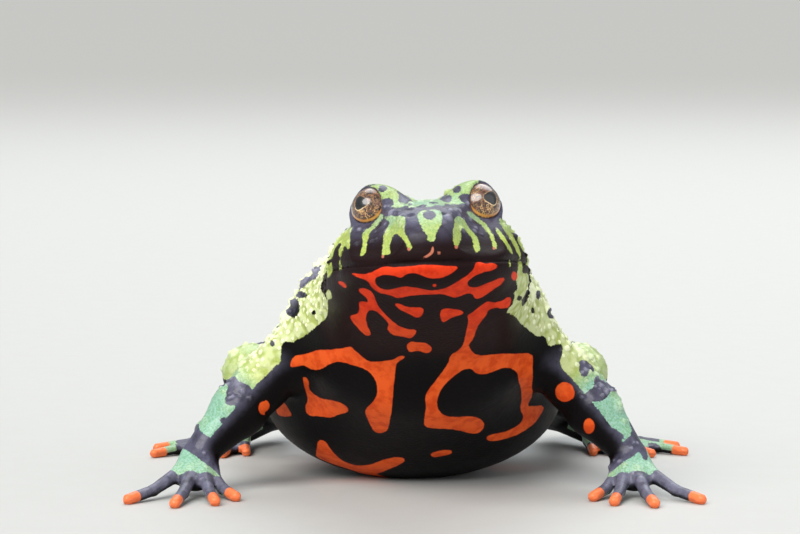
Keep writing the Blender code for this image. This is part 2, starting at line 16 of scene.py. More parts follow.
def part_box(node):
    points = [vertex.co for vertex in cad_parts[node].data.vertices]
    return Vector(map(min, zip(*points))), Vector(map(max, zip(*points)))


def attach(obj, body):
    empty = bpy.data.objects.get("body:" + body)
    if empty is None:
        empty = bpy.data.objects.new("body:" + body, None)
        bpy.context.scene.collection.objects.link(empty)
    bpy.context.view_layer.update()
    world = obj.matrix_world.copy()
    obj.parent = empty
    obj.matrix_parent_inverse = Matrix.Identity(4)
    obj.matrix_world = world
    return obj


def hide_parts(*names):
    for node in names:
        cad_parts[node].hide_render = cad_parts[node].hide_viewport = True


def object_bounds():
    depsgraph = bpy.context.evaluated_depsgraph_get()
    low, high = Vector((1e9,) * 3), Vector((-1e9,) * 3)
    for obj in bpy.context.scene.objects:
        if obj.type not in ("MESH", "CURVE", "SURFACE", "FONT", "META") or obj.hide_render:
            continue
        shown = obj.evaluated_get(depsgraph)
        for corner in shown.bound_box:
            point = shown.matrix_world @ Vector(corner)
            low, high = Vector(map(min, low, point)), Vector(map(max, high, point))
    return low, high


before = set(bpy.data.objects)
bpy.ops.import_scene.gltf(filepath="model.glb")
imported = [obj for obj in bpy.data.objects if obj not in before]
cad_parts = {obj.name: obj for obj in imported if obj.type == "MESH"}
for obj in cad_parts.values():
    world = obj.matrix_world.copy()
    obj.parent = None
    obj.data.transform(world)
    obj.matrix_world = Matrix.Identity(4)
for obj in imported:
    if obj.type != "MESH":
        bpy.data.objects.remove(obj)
cad_low, cad_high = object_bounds()

MM = 0.001
VOXEL = 0.2
SKIN_TRIANGLES = 194000
FIT_STEPS = 5
REFIT_STEPS = 3
FIT_REACH = 0.6
FLAT_HEIGHT = 0.05
SIDES = (1.0, -1.0)
PROBE_CORNERS = ((1, 1, 1), (1, -1, -1), (-1, 1, -1), (-1, -1, 1))
FLOOR_ROUNDING = 0.12
INSIDE_BOX = 0.04

# head masses: x to the left, y back from the lip, z up from the mouth line
HEAD_AT = (0.75, -31.0, 22.6)
HEAD_PITCH = -5.0
HEAD_ROLL = -2.2
HEAD_MASSES = {
    "skull": ((0, 10.6, 1.1), (7.9, 8.2, 4.25), 0),
    "snout": ((0, 5.6, 1.5), (6.0, 6.0, 3.3), 0),
    "jaw": ((0, 8.4, -1.3), (7.9, 8.2, 2.6), -6),
    "throat": ((0, 11.5, -4.0), (7.4, 8.0, 3.6), -20),
    "cheek_left": ((5.3, 12.3, -1.4), (3.4, 4.6, 3.2), 0),
    "cheek_right": ((-5.6, 12.3, -1.4), (3.4, 4.6, 3.2), 0),
}
HEAD_BLEND = 2.2
BROW_AT = (3.9, 9.0, 4.6)
BROW_RADII = (2.4, 2.9, 2.3)
BROW_BLEND = 1.3

# eyes, and the way that each one looks: degrees out to its side and up
EYE_AT = (4.65, 8.3, 4.85)
EYE_RADIUS = 1.88
IRIS_OUT, IRIS_UP = 35.0, 17.0

# lids: a shell round each eye, open in a tilted oval about a way of its own
LID_OUTER = 2.12
LID_START = 2.25
LID_OUT, LID_UP = 43.0, 18.0
LID_ANGLE = 70.0
LID_LOW, LID_HIGH = 1.85, 1.45
LID_TILT = 32.0
LID_BLEND = 0.6
LID_LINE = 0.08
LID_ROUND = 0.2

# the mouth: a groove along the head's sides, between full lips
MOUTH_WIDTH = 0.17
MOUTH_DEPTH = 0.36
MOUTH_END = (9.6, 12.0)
MOUTH_DROP = 0.45
LIP_UPPER = (0.58, 0.42, 0.10)
LIP_LOWER = (-0.52, 0.40, 0.05)
NOSTRIL_AT = (1.55, 1.7, 4.9)
NOSTRIL_R = 0.3
NOSTRIL_DEPTH = 0.34

# body masses: centre, radii and pitch in degrees, nose up
BODY_MASSES = {
    "neck": ((0.3, -15.2, 18.0), (8.6, 7.0, 5.8), 30),
    "chest": ((0.0, -10.8, 13.3), (10.3, 8.5, 7.9), 35),
    "shoulder_left": ((6.0, -9.5, 16.1), (5.2, 6.5, 4.8), 25),
    "shoulder_right": ((-5.9, -9.5, 16.0), (5.0, 6.5, 4.7), 25),
    "belly": ((-0.5, -0.5, 7.6), (14.0, 11.5, 8.0), 0),
    "back": ((-0.6, 0.0, 10.8), (11.9, 12.5, 7.6), 18),
    "pelvis": ((-1.0, 10.5, 6.9), (8.0, 8.0, 5.6), 10),
}
BODY_BLEND = 3.5
NECK_BLEND = 2.5

# limbs: joints in the toad's own frame, the left side at +X
ARMS = {
    "left": {
        "shoulder": (8.3, -10.4, 15.2),
        "elbow": (14.0, -9.5, 9.7),
        "wrist": (19.2, -12.4, 3.5),
        "tips": ((-3.6, -5.6), (-1.9, -8.2), (1.6, -9.4), (5.9, -7.2)),
    },
    "right": {
        "shoulder": (-8.5, -10.4, 15.2),
        "elbow": (-14.3, -9.5, 9.6),
        "wrist": (-20.0, -12.4, 3.5),
        "tips": ((3.6, -5.6), (1.9, -8.2), (-1.6, -9.4), (-5.9, -7.2)),
    },
}
SHOULDER_R = 2.9
ELBOW_R = 2.4
FOREARM_R = 2.45
WRIST_R = 1.45
LEGS = {
    "left": {
        "hip": (3.6, 13.8, 7.2),
        "knee": (15.4, 6.4, 8.6),
        "ankle": (13.6, 21.0, 2.8),
        "sole": (17.8, 15.4, 1.5),
        "aim": -42.0,
    },
    "right": {
        "hip": (-5.0, 13.8, 7.2),
        "knee": (-15.9, 6.4, 8.6),
        "ankle": (-14.2, 21.0, 2.8),
        "sole": (-18.0, 15.0, 1.5),
        "aim": -50.0,
    },
}
HIP_R = 4.2
KNEE_R = 2.9
CALF_R = 2.6
ANKLE_R = 1.5
TOES = ((-46, 4.0), (-26, 5.8), (-8, 7.8), (10, 9.4), (30, 7.2))
TOE_STEP = 0.55
TOE_SPREAD = 1.1
FINGER_RADII = (0.68, 0.51, 0.5)
TOE_RADII = (0.72, 0.5, 0.45)
DIGIT_REST = 0.42
FINGER_ROOT, FINGER_ROOT_HEIGHT = 0.27, 2.1
FINGER_MIDDLE, FINGER_MIDDLE_HEIGHT = 0.52, 0.85
TOE_ROOT_HEIGHT, TOE_MIDDLE_HEIGHT = 0.95, 0.75
PALM_AHEAD, PALM_HEIGHT = 1.8, 2.2
PALM_RADII = (2.1, 2.5, 1.15)
PALM_PITCH = 32
THICKEST = 0.38
THIGH_MIDDLE, THIGH_TAPER = 0.55, 0.93
KNEE_TAPER, ANKLE_TAPER, SOLE_R = 0.85, 0.95, 1.3
WEB_HALF = 0.27
WEB_REACH = 0.72
LIMB_INNER = 0.3
# how softly the parts of the limbs run together
SHOULDER_BLEND, ELBOW_BLEND, FOREARM_BLEND, HAND_BLEND = 2.2, 1.0, 0.8, 1.1
HIP_BLEND, THIGH_BLEND, CALF_BLEND, KNEE_BLEND, FOOT_BLEND = 1.6, 1.0, 0.8, 0.6, 0.7
DIGIT_BLEND, FINGER_BLEND, TOE_BLEND, WEB_BLEND = 0.2, 0.45, 0.5, 0.3
ARM_Y = (-26.0, 4.0)
LEG_Y = (-4.0, 30.0)

# warts: (count, smallest and largest radius, height share, spacing, seed)
LARGE_WARTS = ((150, 0.7, 1.25, 0.42, 0.85, 11),)
WART_SIZES = (
    (900, 0.30, 0.55, 0.55, 0.86, 23),
    (1800, 0.15, 0.26, 0.6, 1.0, 37),
)
FLANK_BEADS = ((1300, 0.24, 0.42, 0.7, 0.9, 61),)
FACE_BUMPS = (
    (80, 0.45, 0.90, 0.36, 0.85, 51),
    (220, 0.20, 0.38, 0.60, 1.0, 57),
)
WART_BOX = ((-20.0, -32.0, 2.0), (20.0, 24.0, 30.0))
WART_UP = 0.05
WART_CLEAR = 0.95
BUMP_CLEAR = 0.35
BACK_UP = (0.0, 0.5, 0.87)

# small spots that show in the photo, in its pixels: centre and radii
ORANGE_SPOTS = {
    "neck_right": ((514.5, 276.0), (2.4, 3.6)),
    "chin": ((434.4, 285.4), (1.3, 1.3)),
}

# the camera: where it looks, in the toad's own frame, how steeply and from how far
LOOK_AT = (-1.7, -31.2, 22.2)
LOOK_DOWN = 5.0
LOOK_FROM = 289.0
PIXEL = 0.085
PHOTO_WIDE, PHOTO_HIGH = 800, 534
SENSOR = 36.0

# how the skin's markings are worked out, in millimetres
MARK_REACH = 1.5
MARK_LIMIT = 0.9
TIP_LENGTH = 1.15
KEEP_NEAR = 0.22
KEEP_FACTOR = 1.0
BELLY_FROM = 380.0
BELLY_STRETCH = 1.09
HAND_GREEN = 3.6
STIR_WAVES = ((5.3, 0.42), (2.1, 0.24))
# share of painted sheen along the fingers
HAND_SHEEN = 0.3
ORANGE_TOP = 12.5
# count, smallest and largest radius, spacing and seed
BACK_SPOTS = (120, 0.55, 1.75, 1.05, 5)
BELLY_SPOTS = (60, 1.0, 2.2, 1.0, 8)
# shares of the forearm that are blue-green, from the elbow to past the wrist
ARM_BANDS = ((-0.6, 0.22), (0.40, 0.80), (1.05, 1.60))
# slate blotches on the forearm: share from the elbow, way round to its outside, radius
ARM_BLOTCHES = (
    (0.08, 0.9, 0.8),
    (0.28, -0.4, 0.6),
    (0.58, -1.2, 0.5),
    (0.72, 1.3, 0.5),
    (1.12, 1.0, 0.8),
)
# the way that the green side of the left forearm faces
ARM_OUTER = (0.72, 0.05, 0.69)
# slate bars on thigh, shank and foot: height over the bone, then share and radius
LEG_BAR_SHARES = (
    (3.7, ((0.35, 1.1), (0.60, 1.3), (0.92, 1.2))),
    (2.3, ((0.15, 0.9), (0.42, 1.1), (0.72, 0.9))),
    (1.2, ((0.05, 0.8), (0.60, 0.8))),
)
LEG_BAR_TURNS = (-55.0, 0.0, 50.0)
TOE_BAR_SHARE, TOE_BAR_RADIUS = 0.62, 1.0
# orange spots inside the forearms, in the photo's pixels: centre and radii
ARM_SPOTS = {
    "left": (((565, 393), (9, 10)), ((589, 426), (5, 7))),
    "right": (((264, 408), (5, 6)),),
}

# the markings that show in the photo: outlines in its pixels
ROSE_MARKS = {
    "lip_line": (
        (431.6, 245.0), (433.8, 247.5), (433.8, 252.5), (429.5, 256.3), (424.5, 258.6),
        (420.5, 259.2), (424.0, 256.6), (428.8, 253.8), (431.6, 250.6),
    ),
}
ROSE_SPOTS = {
    "lip": ((439.0, 253.0), (1.7, 1.7)),
    "bar_end_left": ((408.7, 249.0), (1.5, 1.9)),
    "bar_end_right": ((456.2, 247.0), (1.7, 1.9)),
    "bar_end_outer": ((494.0, 248.2), (1.4, 1.5)),
    "bar_end_far_left": ((382.8, 256.5), (1.4, 1.5)),
}
ORANGE_MARKS = {
    "chin": (
        (352.3, 273.2), (360.7, 274.8), (369.1, 274.1), (378.9, 268.9), (384.5, 266.8), (393, 268),
        (400, 267.5), (409.8, 266.8), (418.2, 265.7), (429.4, 265.2), (439.3, 265.9),
        (449.1, 266.6), (458.2, 266.6), (454.7, 271.1), (449.1, 274.1), (440.7, 277.5),
        (433.7, 278.4), (426.6, 276.7), (418.2, 273.2), (411.2, 272.2), (405.6, 273.9),
        (401.4, 277.4), (394.4, 275.5), (387.3, 274.1), (380.3, 275), (375.4, 276.9), (374, 280.9),
        (376.1, 285.4), (380.3, 289.3), (387.3, 291), (395.8, 288.6), (404.2, 286.8),
        (412.6, 287.6), (421, 289.3), (430.8, 291), (440.7, 290.4), (449.1, 287.6), (455.4, 283.4),
        (461.7, 279.5), (470.1, 273.9), (475, 268.2), (476, 262.6), (480.7, 262.6), (485.6, 264.6),
        (491.2, 263.2), (497.1, 265.4), (496.5, 267.7), (489.8, 270.4), (481.4, 272.2),
        (474.3, 275.3), (468.7, 279.5), (466.6, 284), (469, 287.6), (475.7, 288.2), (482.8, 285.8),
        (491.2, 282.3), (499.6, 278.8), (504.9, 278.1), (501, 283.7), (492.6, 289.3),
        (485.6, 294.6), (478.6, 298), (475, 298), (472.7, 293.5), (468.7, 292.4), (461.7, 294.9),
        (454.7, 297.4), (449.1, 295.6), (442.1, 293.2), (432.2, 293.8), (421, 294.4),
        (409.8, 295.2), (402.8, 296.6), (397.2, 298), (391.6, 295.2), (385.9, 293.5),
        (380.3, 292.9), (374.7, 289.6), (370.5, 285.4), (368.4, 281.2), (363.5, 278.4),
        (357.9, 276.9), (353.7, 275.3),
    ),
    "chin_drop": (
        (338.2, 281.6), (343.2, 282.3), (346, 285.1), (346, 287.6), (343.2, 286.8), (340.3, 284),
    ),
    "throat_left": (
        (359.1, 289.1), (363.9, 288.6), (369.7, 291), (373, 294.3), (374.9, 300.1), (377.3, 305.8),
        (381.1, 310.6), (385.9, 315.9), (391.7, 321.1), (397.4, 325.9), (405.1, 329.3),
        (410.8, 329.9), (416.1, 330.2), (414.6, 334), (410.8, 338.1), (406, 336.9), (399.3, 335.5),
        (392.6, 334.3), (388.8, 330.7), (387.8, 327.8), (389.7, 323.5), (385.9, 319.2),
        (381.1, 314.4), (376.4, 310.6), (371.6, 309.2), (367.7, 310.6), (365.8, 314.4),
        (365.4, 319.2), (366.3, 324), (368.2, 328.8), (370.4, 333.6), (369.2, 335.7), (365.8, 335),
        (361, 330.7), (356.3, 325), (352.4, 321.1), (350.3, 316.8), (352.4, 315.4), (356.3, 314.9),
        (359.1, 312.5), (360.1, 308.7), (359.3, 304.9), (360.1, 301.8), (363.9, 301.8),
        (367.7, 303.4), (368.7, 300.6), (366.8, 297.2), (363, 294.3), (360.1, 292),
    ),
    "throat_wedge_left": (
        (395, 303.9), (399.3, 304.4), (405.1, 306.8), (410.8, 307.7), (416.5, 307.7),
        (422.8, 308.2), (423.2, 311.6), (421.3, 315.4), (417.5, 317.1), (413.7, 315.9),
        (408.9, 313), (403.1, 310.6), (398.4, 307.7),
    ),
    "throat_wedge_right": (
        (440.4, 312.5), (442.4, 309.6), (447.1, 308.9), (452.9, 309.6), (458.6, 310.1),
        (463.4, 312.5), (461.5, 314), (455.8, 315.4), (450, 317.8), (445.2, 321.1), (442.8, 321.9),
        (441.4, 319.2),
    ),
    "breast_bow": (
        (407.4, 346), (408.9, 343.1), (411.7, 341.7), (416.5, 343.1), (422.3, 342.9),
        (427.1, 344.1), (431.4, 347.4), (430.9, 350.8), (427.5, 352.5), (423.2, 351.7),
        (419.4, 350.3), (414.6, 350.8), (409.8, 351.7), (408.1, 349.3),
    ),
    "belly_left": (
        (265.8, 382.5), (271.9, 376.4), (279.5, 368.7), (285.7, 364.1), (293.3, 356.5),
        (302.5, 355.3), (311.7, 352.6), (317.8, 350.4), (327, 350.4), (337.7, 349.6),
        (346.9, 348.1), (350.8, 346.5), (353.8, 350.4), (360.7, 356.5), (368.4, 361.8),
        (377.5, 362.6), (386.7, 361.1), (394.4, 359.8), (399.3, 356.5), (405.1, 356),
        (402.2, 358.6), (397.4, 361.3), (395.2, 365.7), (393.6, 382.5), (392.1, 397.8),
        (391.3, 413.1), (389, 425.4), (387.5, 434.6), (380.6, 437.6), (374.5, 436.1),
        (370.7, 428.5), (366.1, 417.7), (366.1, 411.6), (373, 405.5), (378.3, 394.8), (377.5, 384),
        (373, 374.9), (365.3, 368.7), (354.6, 364.9), (343.9, 361.8), (334.7, 361.1), (327, 364.9),
        (320.9, 369), (313.2, 369.5), (307.1, 366.4), (302.5, 364.1), (297.2, 367.2),
        (294.1, 373.3), (292.6, 379.4), (285.7, 382.5), (276.5, 384.3), (267.3, 383.7),
    ),
    "belly_blob": (
        (301.7, 377.2), (305.6, 377.2), (308.6, 382.5), (307.9, 388.6), (311.7, 394.8),
        (320.9, 400.9), (330.1, 402.4), (339.3, 404.7), (345.4, 408.5), (348.5, 413.1),
        (343.9, 416.2), (337.7, 417), (331.6, 420.5), (324, 420), (317.8, 418.5), (311.7, 419.3),
        (306.3, 414.7), (305.6, 408.5), (308.6, 402.4), (307.1, 394.8), (304.8, 387.1),
    ),
    "belly_drop": (
        (276.5, 410.8), (280.3, 402.4), (285.7, 407), (289.5, 414.7), (291.8, 419), (285.7, 419.3),
        (278, 418.5),
    ),
    "flank_strip": (
        (261.2, 417.7), (265.8, 420.8), (269.6, 428.5), (272.6, 437.6), (278, 448.4),
        (285.7, 457.5), (281.1, 460.6), (271.9, 451.4), (267.3, 437.6), (263.5, 426.9),
    ),
    "belly_low": (
        (318.6, 446.1), (324, 446.1), (328.5, 453), (336.2, 463.7), (346.9, 471.3), (359.2, 474.4),
        (371.4, 472.9), (380.6, 468.3), (391.3, 465.2), (400.5, 464.4), (405.1, 466.7),
        (400.5, 471.3), (391.3, 475.2), (379.1, 481.3), (363.8, 485.1), (346.9, 481.3),
        (330.1, 474.4), (317.8, 471.3), (310.2, 469), (316.3, 463.7), (317.1, 454.5),
    ),
    "belly_right": (
        (509.4, 297), (511.1, 300.5), (508.7, 306.8), (502.4, 308.2), (495.4, 306.8), (488.4, 309),
        (485.4, 315.4), (480.6, 321.1), (476.8, 326.9), (474.9, 332.6), (473, 338.3),
        (469.1, 343.1), (468.2, 346.9), (472, 352.7), (477.8, 356), (489.9, 355.4), (503.3, 354.1),
        (516.7, 354.4), (532, 353.5), (532.5, 362.1), (532, 373.6), (533, 385), (532, 396.5),
        (528.2, 404.2), (527.2, 409), (533.9, 409), (543.5, 408), (541.6, 415.7), (533.9, 427.1),
        (522.4, 436.7), (507.1, 443.4), (493.7, 446.3), (487, 445.3), (488, 440.5), (499.5, 438.6),
        (512.9, 433.8), (522.4, 426.2), (524.4, 419.5), (520.5, 411.8), (522.4, 400.4),
        (521.5, 388.9), (518.6, 379.3), (518.6, 373.6), (512.9, 367.8), (503.3, 366.9),
        (493.7, 370.7), (484.2, 374), (476.5, 373.2), (471.7, 367.8), (463.1, 368.8),
        (453.6, 375.5), (445, 383.1), (438.3, 394.6), (435.8, 406.1), (439.2, 415.7),
        (446.9, 420.4), (457.4, 421), (468.9, 419.9), (478.4, 421.4), (483.8, 427.1),
        (483.2, 432.9), (478.4, 437.7), (470.8, 437.7), (461.2, 434.8), (449.7, 432.9),
        (436.3, 432.5), (424.5, 431), (424.9, 421.4), (426.8, 409.9), (425.3, 398.4),
        (428.7, 390.8), (436.3, 381.2), (443, 371.7), (448.8, 364), (450.1, 356.3), (457.4, 351.6),
        (463.1, 346.8), (465.3, 339.3), (466.3, 333.6), (467.7, 327.8), (469.1, 320.2),
        (467.7, 315.9), (472, 313.5), (476.8, 309.6), (481.6, 305.8), (486.4, 302.5),
        (488.4, 301.9), (495.4, 303.3), (502.4, 301.2),
    ),
    "belly_low_right": (
        (430.6, 460.6), (438.3, 457.7), (450.7, 456.2), (451.7, 459.7), (442.1, 462.5),
        (432.5, 463.9),
    ),
    "arm_spot_upper": (
        (554, 370.7), (558.8, 365.5), (568.4, 365.9), (573.1, 368.8), (572.2, 377.4),
        (569.3, 384.1), (564.5, 381.2), (558.8, 376.4),
    ),
    "arm_spot_lower": (
        (583.7, 386), (589.4, 386), (593.2, 390.8), (592.3, 397.5), (586.5, 398.1), (584, 392.7),
    ),
}
GREEN_MARKS = {
    "brow_wedge": (
        (416.8, 212.8), (423.1, 210.7), (432.2, 209.3), (442.1, 210.7), (442.4, 217.7),
        (440.7, 226.1), (437.2, 231.8), (436.2, 237.4), (433, 241.9), (428, 241.6), (426.9, 236),
        (423.1, 230.4), (419.9, 224.7), (418.2, 219.1),
    ),
    "snout_left": (
        (383.8, 217), (390.2, 215.6), (398.6, 215.6), (404.2, 216.3), (405.9, 221.9),
        (404.2, 228.9), (405.9, 235.3), (409.8, 240.2), (411.9, 245.8), (410.9, 250.7),
        (407.3, 248.9), (404.5, 241.9), (400.3, 236.7), (396.5, 233.4), (393.7, 234.8),
        (390.9, 240.2), (389.5, 247.2), (391.3, 254.2), (387.3, 254.9), (383.1, 255.9),
        (381.5, 254.2), (382.9, 245.8), (383.1, 236), (384.8, 230.4), (388.8, 226.1),
        (390.2, 222.2), (385.9, 219.4),
    ),
    "snout_left_outer": (
        (381.7, 212.8), (384.3, 217.7), (380.3, 221.9), (376.1, 226.1), (370.5, 231.8),
        (368.4, 237.4), (367, 245.8), (365.6, 254.2), (362.1, 255.9), (360, 254.9), (362.1, 247.2),
        (362.8, 240.2), (362.1, 234.6), (364.9, 230.4), (369.1, 226.1), (373.3, 223.3),
        (376.1, 219.1), (378.9, 214.9),
    ),
    "lip_left": (
        (347.4, 222.6), (352, 222.2), (352.6, 226.1), (350.2, 231.8), (350.3, 237.4),
        (349.7, 248.6), (347.5, 249.4), (345.3, 245.1), (342.4, 250), (340.5, 257), (341, 260.1),
        (339.1, 255.6), (338, 251.4), (341, 244.4), (339.6, 241.6), (334, 248.6), (333.3, 245.8),
        (341, 238.8), (345, 233.2), (344.1, 228.9), (345.3, 224.7),
    ),
    "cheek_left": (
        (334.7, 231.8), (337.5, 228.9), (338.5, 233.2), (336.1, 236),
    ),
    "jaw_left": (
        (328.4, 248.6), (333.3, 246.5), (333.8, 254.2), (331.2, 259.8), (328.4, 257.7),
    ),
    "jaw_left_low": (
        (321.4, 268.2), (324.2, 263.3), (329.1, 264.3), (330.9, 269.6), (329.1, 276.7),
        (324.9, 276),
    ),
    "jaw_stripe_left": (
        (338.9, 260.5), (340.8, 259.8), (341.7, 266.8), (340.8, 273.2), (339.4, 270.4),
    ),
    "neck_left": (
        (325.6, 290.7), (329.1, 289.3), (331.2, 293.5), (332.3, 298.4), (328.4, 299.8),
        (325.3, 296.3),
    ),
    "snout_right": (
        (454, 217.7), (460.3, 215.6), (465.9, 221.2), (468, 226.4), (473.2, 231.8), (477.4, 237.4),
        (480.2, 244.4), (479.7, 251.4), (476, 253.1), (473.6, 248.6), (472.7, 241.6), (470.1, 236),
        (466.6, 231.8), (463.4, 227.5), (461.2, 230.4), (461.7, 236), (459.8, 241.6),
        (458.3, 247.2), (455.5, 248), (453.9, 243), (453, 237.4), (452.5, 230.4), (455, 224.7),
    ),
    "snout_right_outer": (
        (465.2, 210.7), (472.9, 212.1), (478.6, 217.7), (484.2, 221.9), (488.7, 227.5),
        (492.3, 233.2), (495.1, 240.2), (497.4, 248.6), (494.3, 249.7), (492.6, 244.4),
        (490.2, 237.4), (486.1, 230.6), (481.1, 225.4), (474.3, 219.8), (468.7, 216.6),
    ),
    "lip_right": (
        (494, 226.1), (498.9, 228.9), (503.8, 236), (508.3, 243), (512.5, 250), (513.2, 254.5),
        (510.1, 252.8), (506.6, 247.2), (502.4, 240.2), (497.1, 233.2),
    ),
    "cheek_right": (
        (498.2, 217.7), (502.4, 219.1), (508.3, 228.9), (515.3, 238.8), (519.8, 248.6),
        (521.5, 259.8), (518.1, 255.6), (514.2, 245.8), (509.1, 237.4), (503.5, 228.9),
        (499.6, 222.2),
    ),
    "jaw_stripe_right": (
        (508.4, 259.8), (510, 259.8), (510.8, 268.2), (509.4, 268.2),
    ),
    "neck_right": (
        (517.1, 259.8), (522, 261.2), (522.8, 271.1), (520.9, 282.3), (517.8, 286.5),
        (515.7, 280.9), (516.4, 273.9), (518.5, 268.2),
    ),
    "lid_left": (
        (367.7, 185.4), (376.1, 182.1), (385.9, 182.6), (393, 186.6), (398.6, 193.2),
        (403.1, 199.8), (404.9, 206.8), (398.6, 207.3), (393, 207.6), (385.9, 206.8),
        (379.6, 205.8), (377.8, 200.9), (376.4, 193.9), (373.6, 188.2),
    ),
    "lid_right": (
        (445.6, 203.7), (444.6, 198.1), (448.8, 191.1), (454.7, 184.3), (463.1, 179.8),
        (471.5, 178.1), (480, 180.1), (475.7, 185.4), (473.6, 191.1), (471.5, 196.7),
        (470.1, 201.6), (460.3, 204.4), (451.9, 204.4),
    ),
    "crown": (
        (404.2, 201.6), (412.6, 200.6), (426.6, 200.2), (440.7, 200.2), (445.6, 203.7),
        (443.5, 206.8), (432.2, 206.8), (416.8, 207.6), (405.6, 206.8),
    ),
    "shoulder_left": (
        (330.8, 260), (329.3, 266.1), (322.4, 269.2), (317.8, 276.8), (308.6, 281.4),
        (302.5, 287.6), (290.3, 296.8), (278, 310.5), (271.9, 324.3), (259.6, 332), (245.8, 345.8),
        (225.9, 361.1), (218.3, 373.3), (230.5, 370.3), (232.8, 381), (241.3, 384.3),
        (247.4, 387.1), (252, 381.7), (252.3, 370.3), (256.6, 366.4), (263.5, 364.1),
        (265.8, 359.5), (271.9, 360.3), (278, 365.7), (280.3, 367.2), (279.5, 351.9),
        (282.6, 342.7), (288.7, 341.2), (293.3, 343.5), (296.4, 339.6), (304, 336.6),
        (313.2, 328.9), (320.9, 322.8), (327, 318.2), (328.2, 310.5), (327.8, 299.8),
        (322.4, 290.6), (321.7, 281.4), (330.1, 276.8), (333.1, 269.2),
    ),
    "shoulder_right": (
        (517, 274.1), (525, 272.3), (539.3, 276.8), (550, 289.3), (564.3, 317.9), (576.8, 326.8),
        (598.2, 333), (616.1, 352.7), (620.5, 366.1), (571.4, 360), (571.4, 357.1), (569.6, 350.9),
        (563.4, 343.8), (555.4, 343.8), (550, 347.3), (546.4, 342), (544.6, 335.7), (536.6, 337.5),
        (529.5, 330.4), (520.5, 324.1), (516.1, 317), (509.8, 313.8), (505.4, 312.5),
        (512.5, 303.6), (514.7, 296.4), (513.4, 292), (517.9, 289.3), (516.1, 283.9),
    ),
    "arm_notch": (
        (568.4, 361.1), (579.8, 353.5), (591.3, 357.3), (586.5, 363), (572.2, 365.9),
    ),
}
DARK_SPOTS = {
    "brow_spot": ((429.2, 214.9), (6.5, 4.6)),
    "lid_spot_left": ((382.4, 188.7), (4.5, 3.4)),
    "lid_mark_left": ((387.3, 202.6), (6.2, 4.8)),
    "lid_edge_left": ((401.1, 198.1), (2.8, 5.6)),
    "lid_rim_left": ((372.2, 183.8), (4.8, 1.7)),
    "lid_spot_right": ((456.8, 189.2), (4.5, 3.9)),
    "lid_mark_right": ((466.6, 198.1), (7.7, 4.5)),
    "lid_edge_right": ((448.0, 198.8), (3.4, 4.2)),
    "crown_spot_left": ((409.8, 203.0), (3.9, 2.5)),
    "crown_spot": ((423.1, 206.8), (4.5, 2.2)),
    "crown_spot_right": ((437.6, 207.3), (4.8, 2.2)),
    "crown_spot_back": ((433.7, 201.7), (5.6, 1.7)),
    "shoulder_blotch": ((292.6, 307.5), (6.9, 10.0)),
    "shoulder_blotch_top": ((301.0, 294.9), (5.4, 3.4)),
    "shoulder_speck_left": ((271.9, 344.5), (3.4, 4.0)),
    "shoulder_speck_inner": ((314.0, 312.8), (2.1, 2.1)),
    "neck_mark_left": ((324.0, 273.8), (3.4, 6.1)),
    "neck_speck_right": ((519.2, 298.2), (2.3, 2.3)),
    "shoulder_mark_right": ((538.4, 295.1), (2.1, 4.6)),
    "shoulder_speck_right": ((533.2, 310.7), (1.8, 3.0)),
    "shoulder_blotch_right": ((552.2, 313.4), (4.9, 5.5)),
    "shoulder_low_right": ((561.6, 326.8), (4.5, 3.6)),
    "arm_speck_right": ((587.5, 349.1), (5.4, 2.5)),
    "under_eye_left": ((360.7, 225.4), (10.5, 4.2)),
    "under_eye_right": ((493.0, 221.0), (5.5, 5.5)),
}

# eyes: a cornea raised over a pupil of three rounded sides, its point down and outward
CORNEA_RISE = 0.12
CORNEA_ANGLE = 50.0
PUPIL_RADIUS = 0.57
PUPIL_POINT = 0.12
PUPIL_TURN = 24.0
PUPIL_WIDE = 1.06
IRIS_RIM = 0.66
IRIS_SHIFT = (-7.0, 9.0)

# colours, as linear red, green, blue and alpha
BLACK = (0.0030, 0.0022, 0.0026, 1.0)
MAROON = (0.012, 0.0045, 0.005, 1.0)
# the dark skin's own grey-violet tone, lightened as painted sheen where the skin faces up
SLATE_SHEEN = (0.088, 0.086, 0.135, 1.0)
# painted highlight on the tops of warts and bumps in the slate skin
SLATE_WART_HIGHLIGHT = (0.24, 0.24, 0.32, 1.0)
LIME = (0.44, 0.51, 0.105, 1.0)
AQUA = (0.28, 0.49, 0.39, 1.0)
PALE = (0.86, 0.90, 0.60, 1.0)
OLIVE = (0.38, 0.45, 0.12, 1.0)
GREEN_SHADE = (0.62, 0.76, 0.58, 1.0)
THROAT_RED = (0.74, 0.048, 0.011, 1.0)
BELLY_ORANGE = (0.80, 0.11, 0.018, 1.0)
ORANGE_SHADE = (0.8, 0.6, 0.5, 1.0)
ROSE = (0.46, 0.15, 0.09, 1.0)
TIP_ORANGE = (0.88, 0.20, 0.07, 1.0)
IRIS_BRONZE = (0.17, 0.062, 0.026, 1.0)
IRIS_DARK = (0.022, 0.009, 0.008, 1.0)
IRIS_GOLD = (0.74, 0.45, 0.17, 1.0)
RIM_GOLD = (0.72, 0.32, 0.06, 1.0)
RING_GOLD = (0.85, 0.66, 0.38, 1.0)
PUPIL_BLACK = (0.003, 0.003, 0.004, 1.0)
FLOOR_PALE = (0.50, 0.50, 0.48, 1.0)
FLOOR_PALER = (0.53, 0.53, 0.515, 1.0)
SKY = (0.86, 0.90, 0.93)
SKY_STRENGTH = 0.42

# soft lights: place, aim, size, power and colour
LIGHTS = {
    "top": ((0.1, 0.45, 0.6), (0, 0, 0.01), 0.7, 3.2, (0.93, 0.97, 1.0)),
    "fill": ((0.7, -0.5, 0.35), (0, 0, 0.01), 1.3, 3.0, (1.0, 1.0, 1.0)),
}
# the broad key light: where it comes from, width in degrees, strength and colour
KEY_FROM = (-0.35, -0.60, 0.65)
KEY_WIDE = 45.0
KEY_STRENGTH = 3.7
KEY_COLOUR = (1.0, 0.98, 0.95)


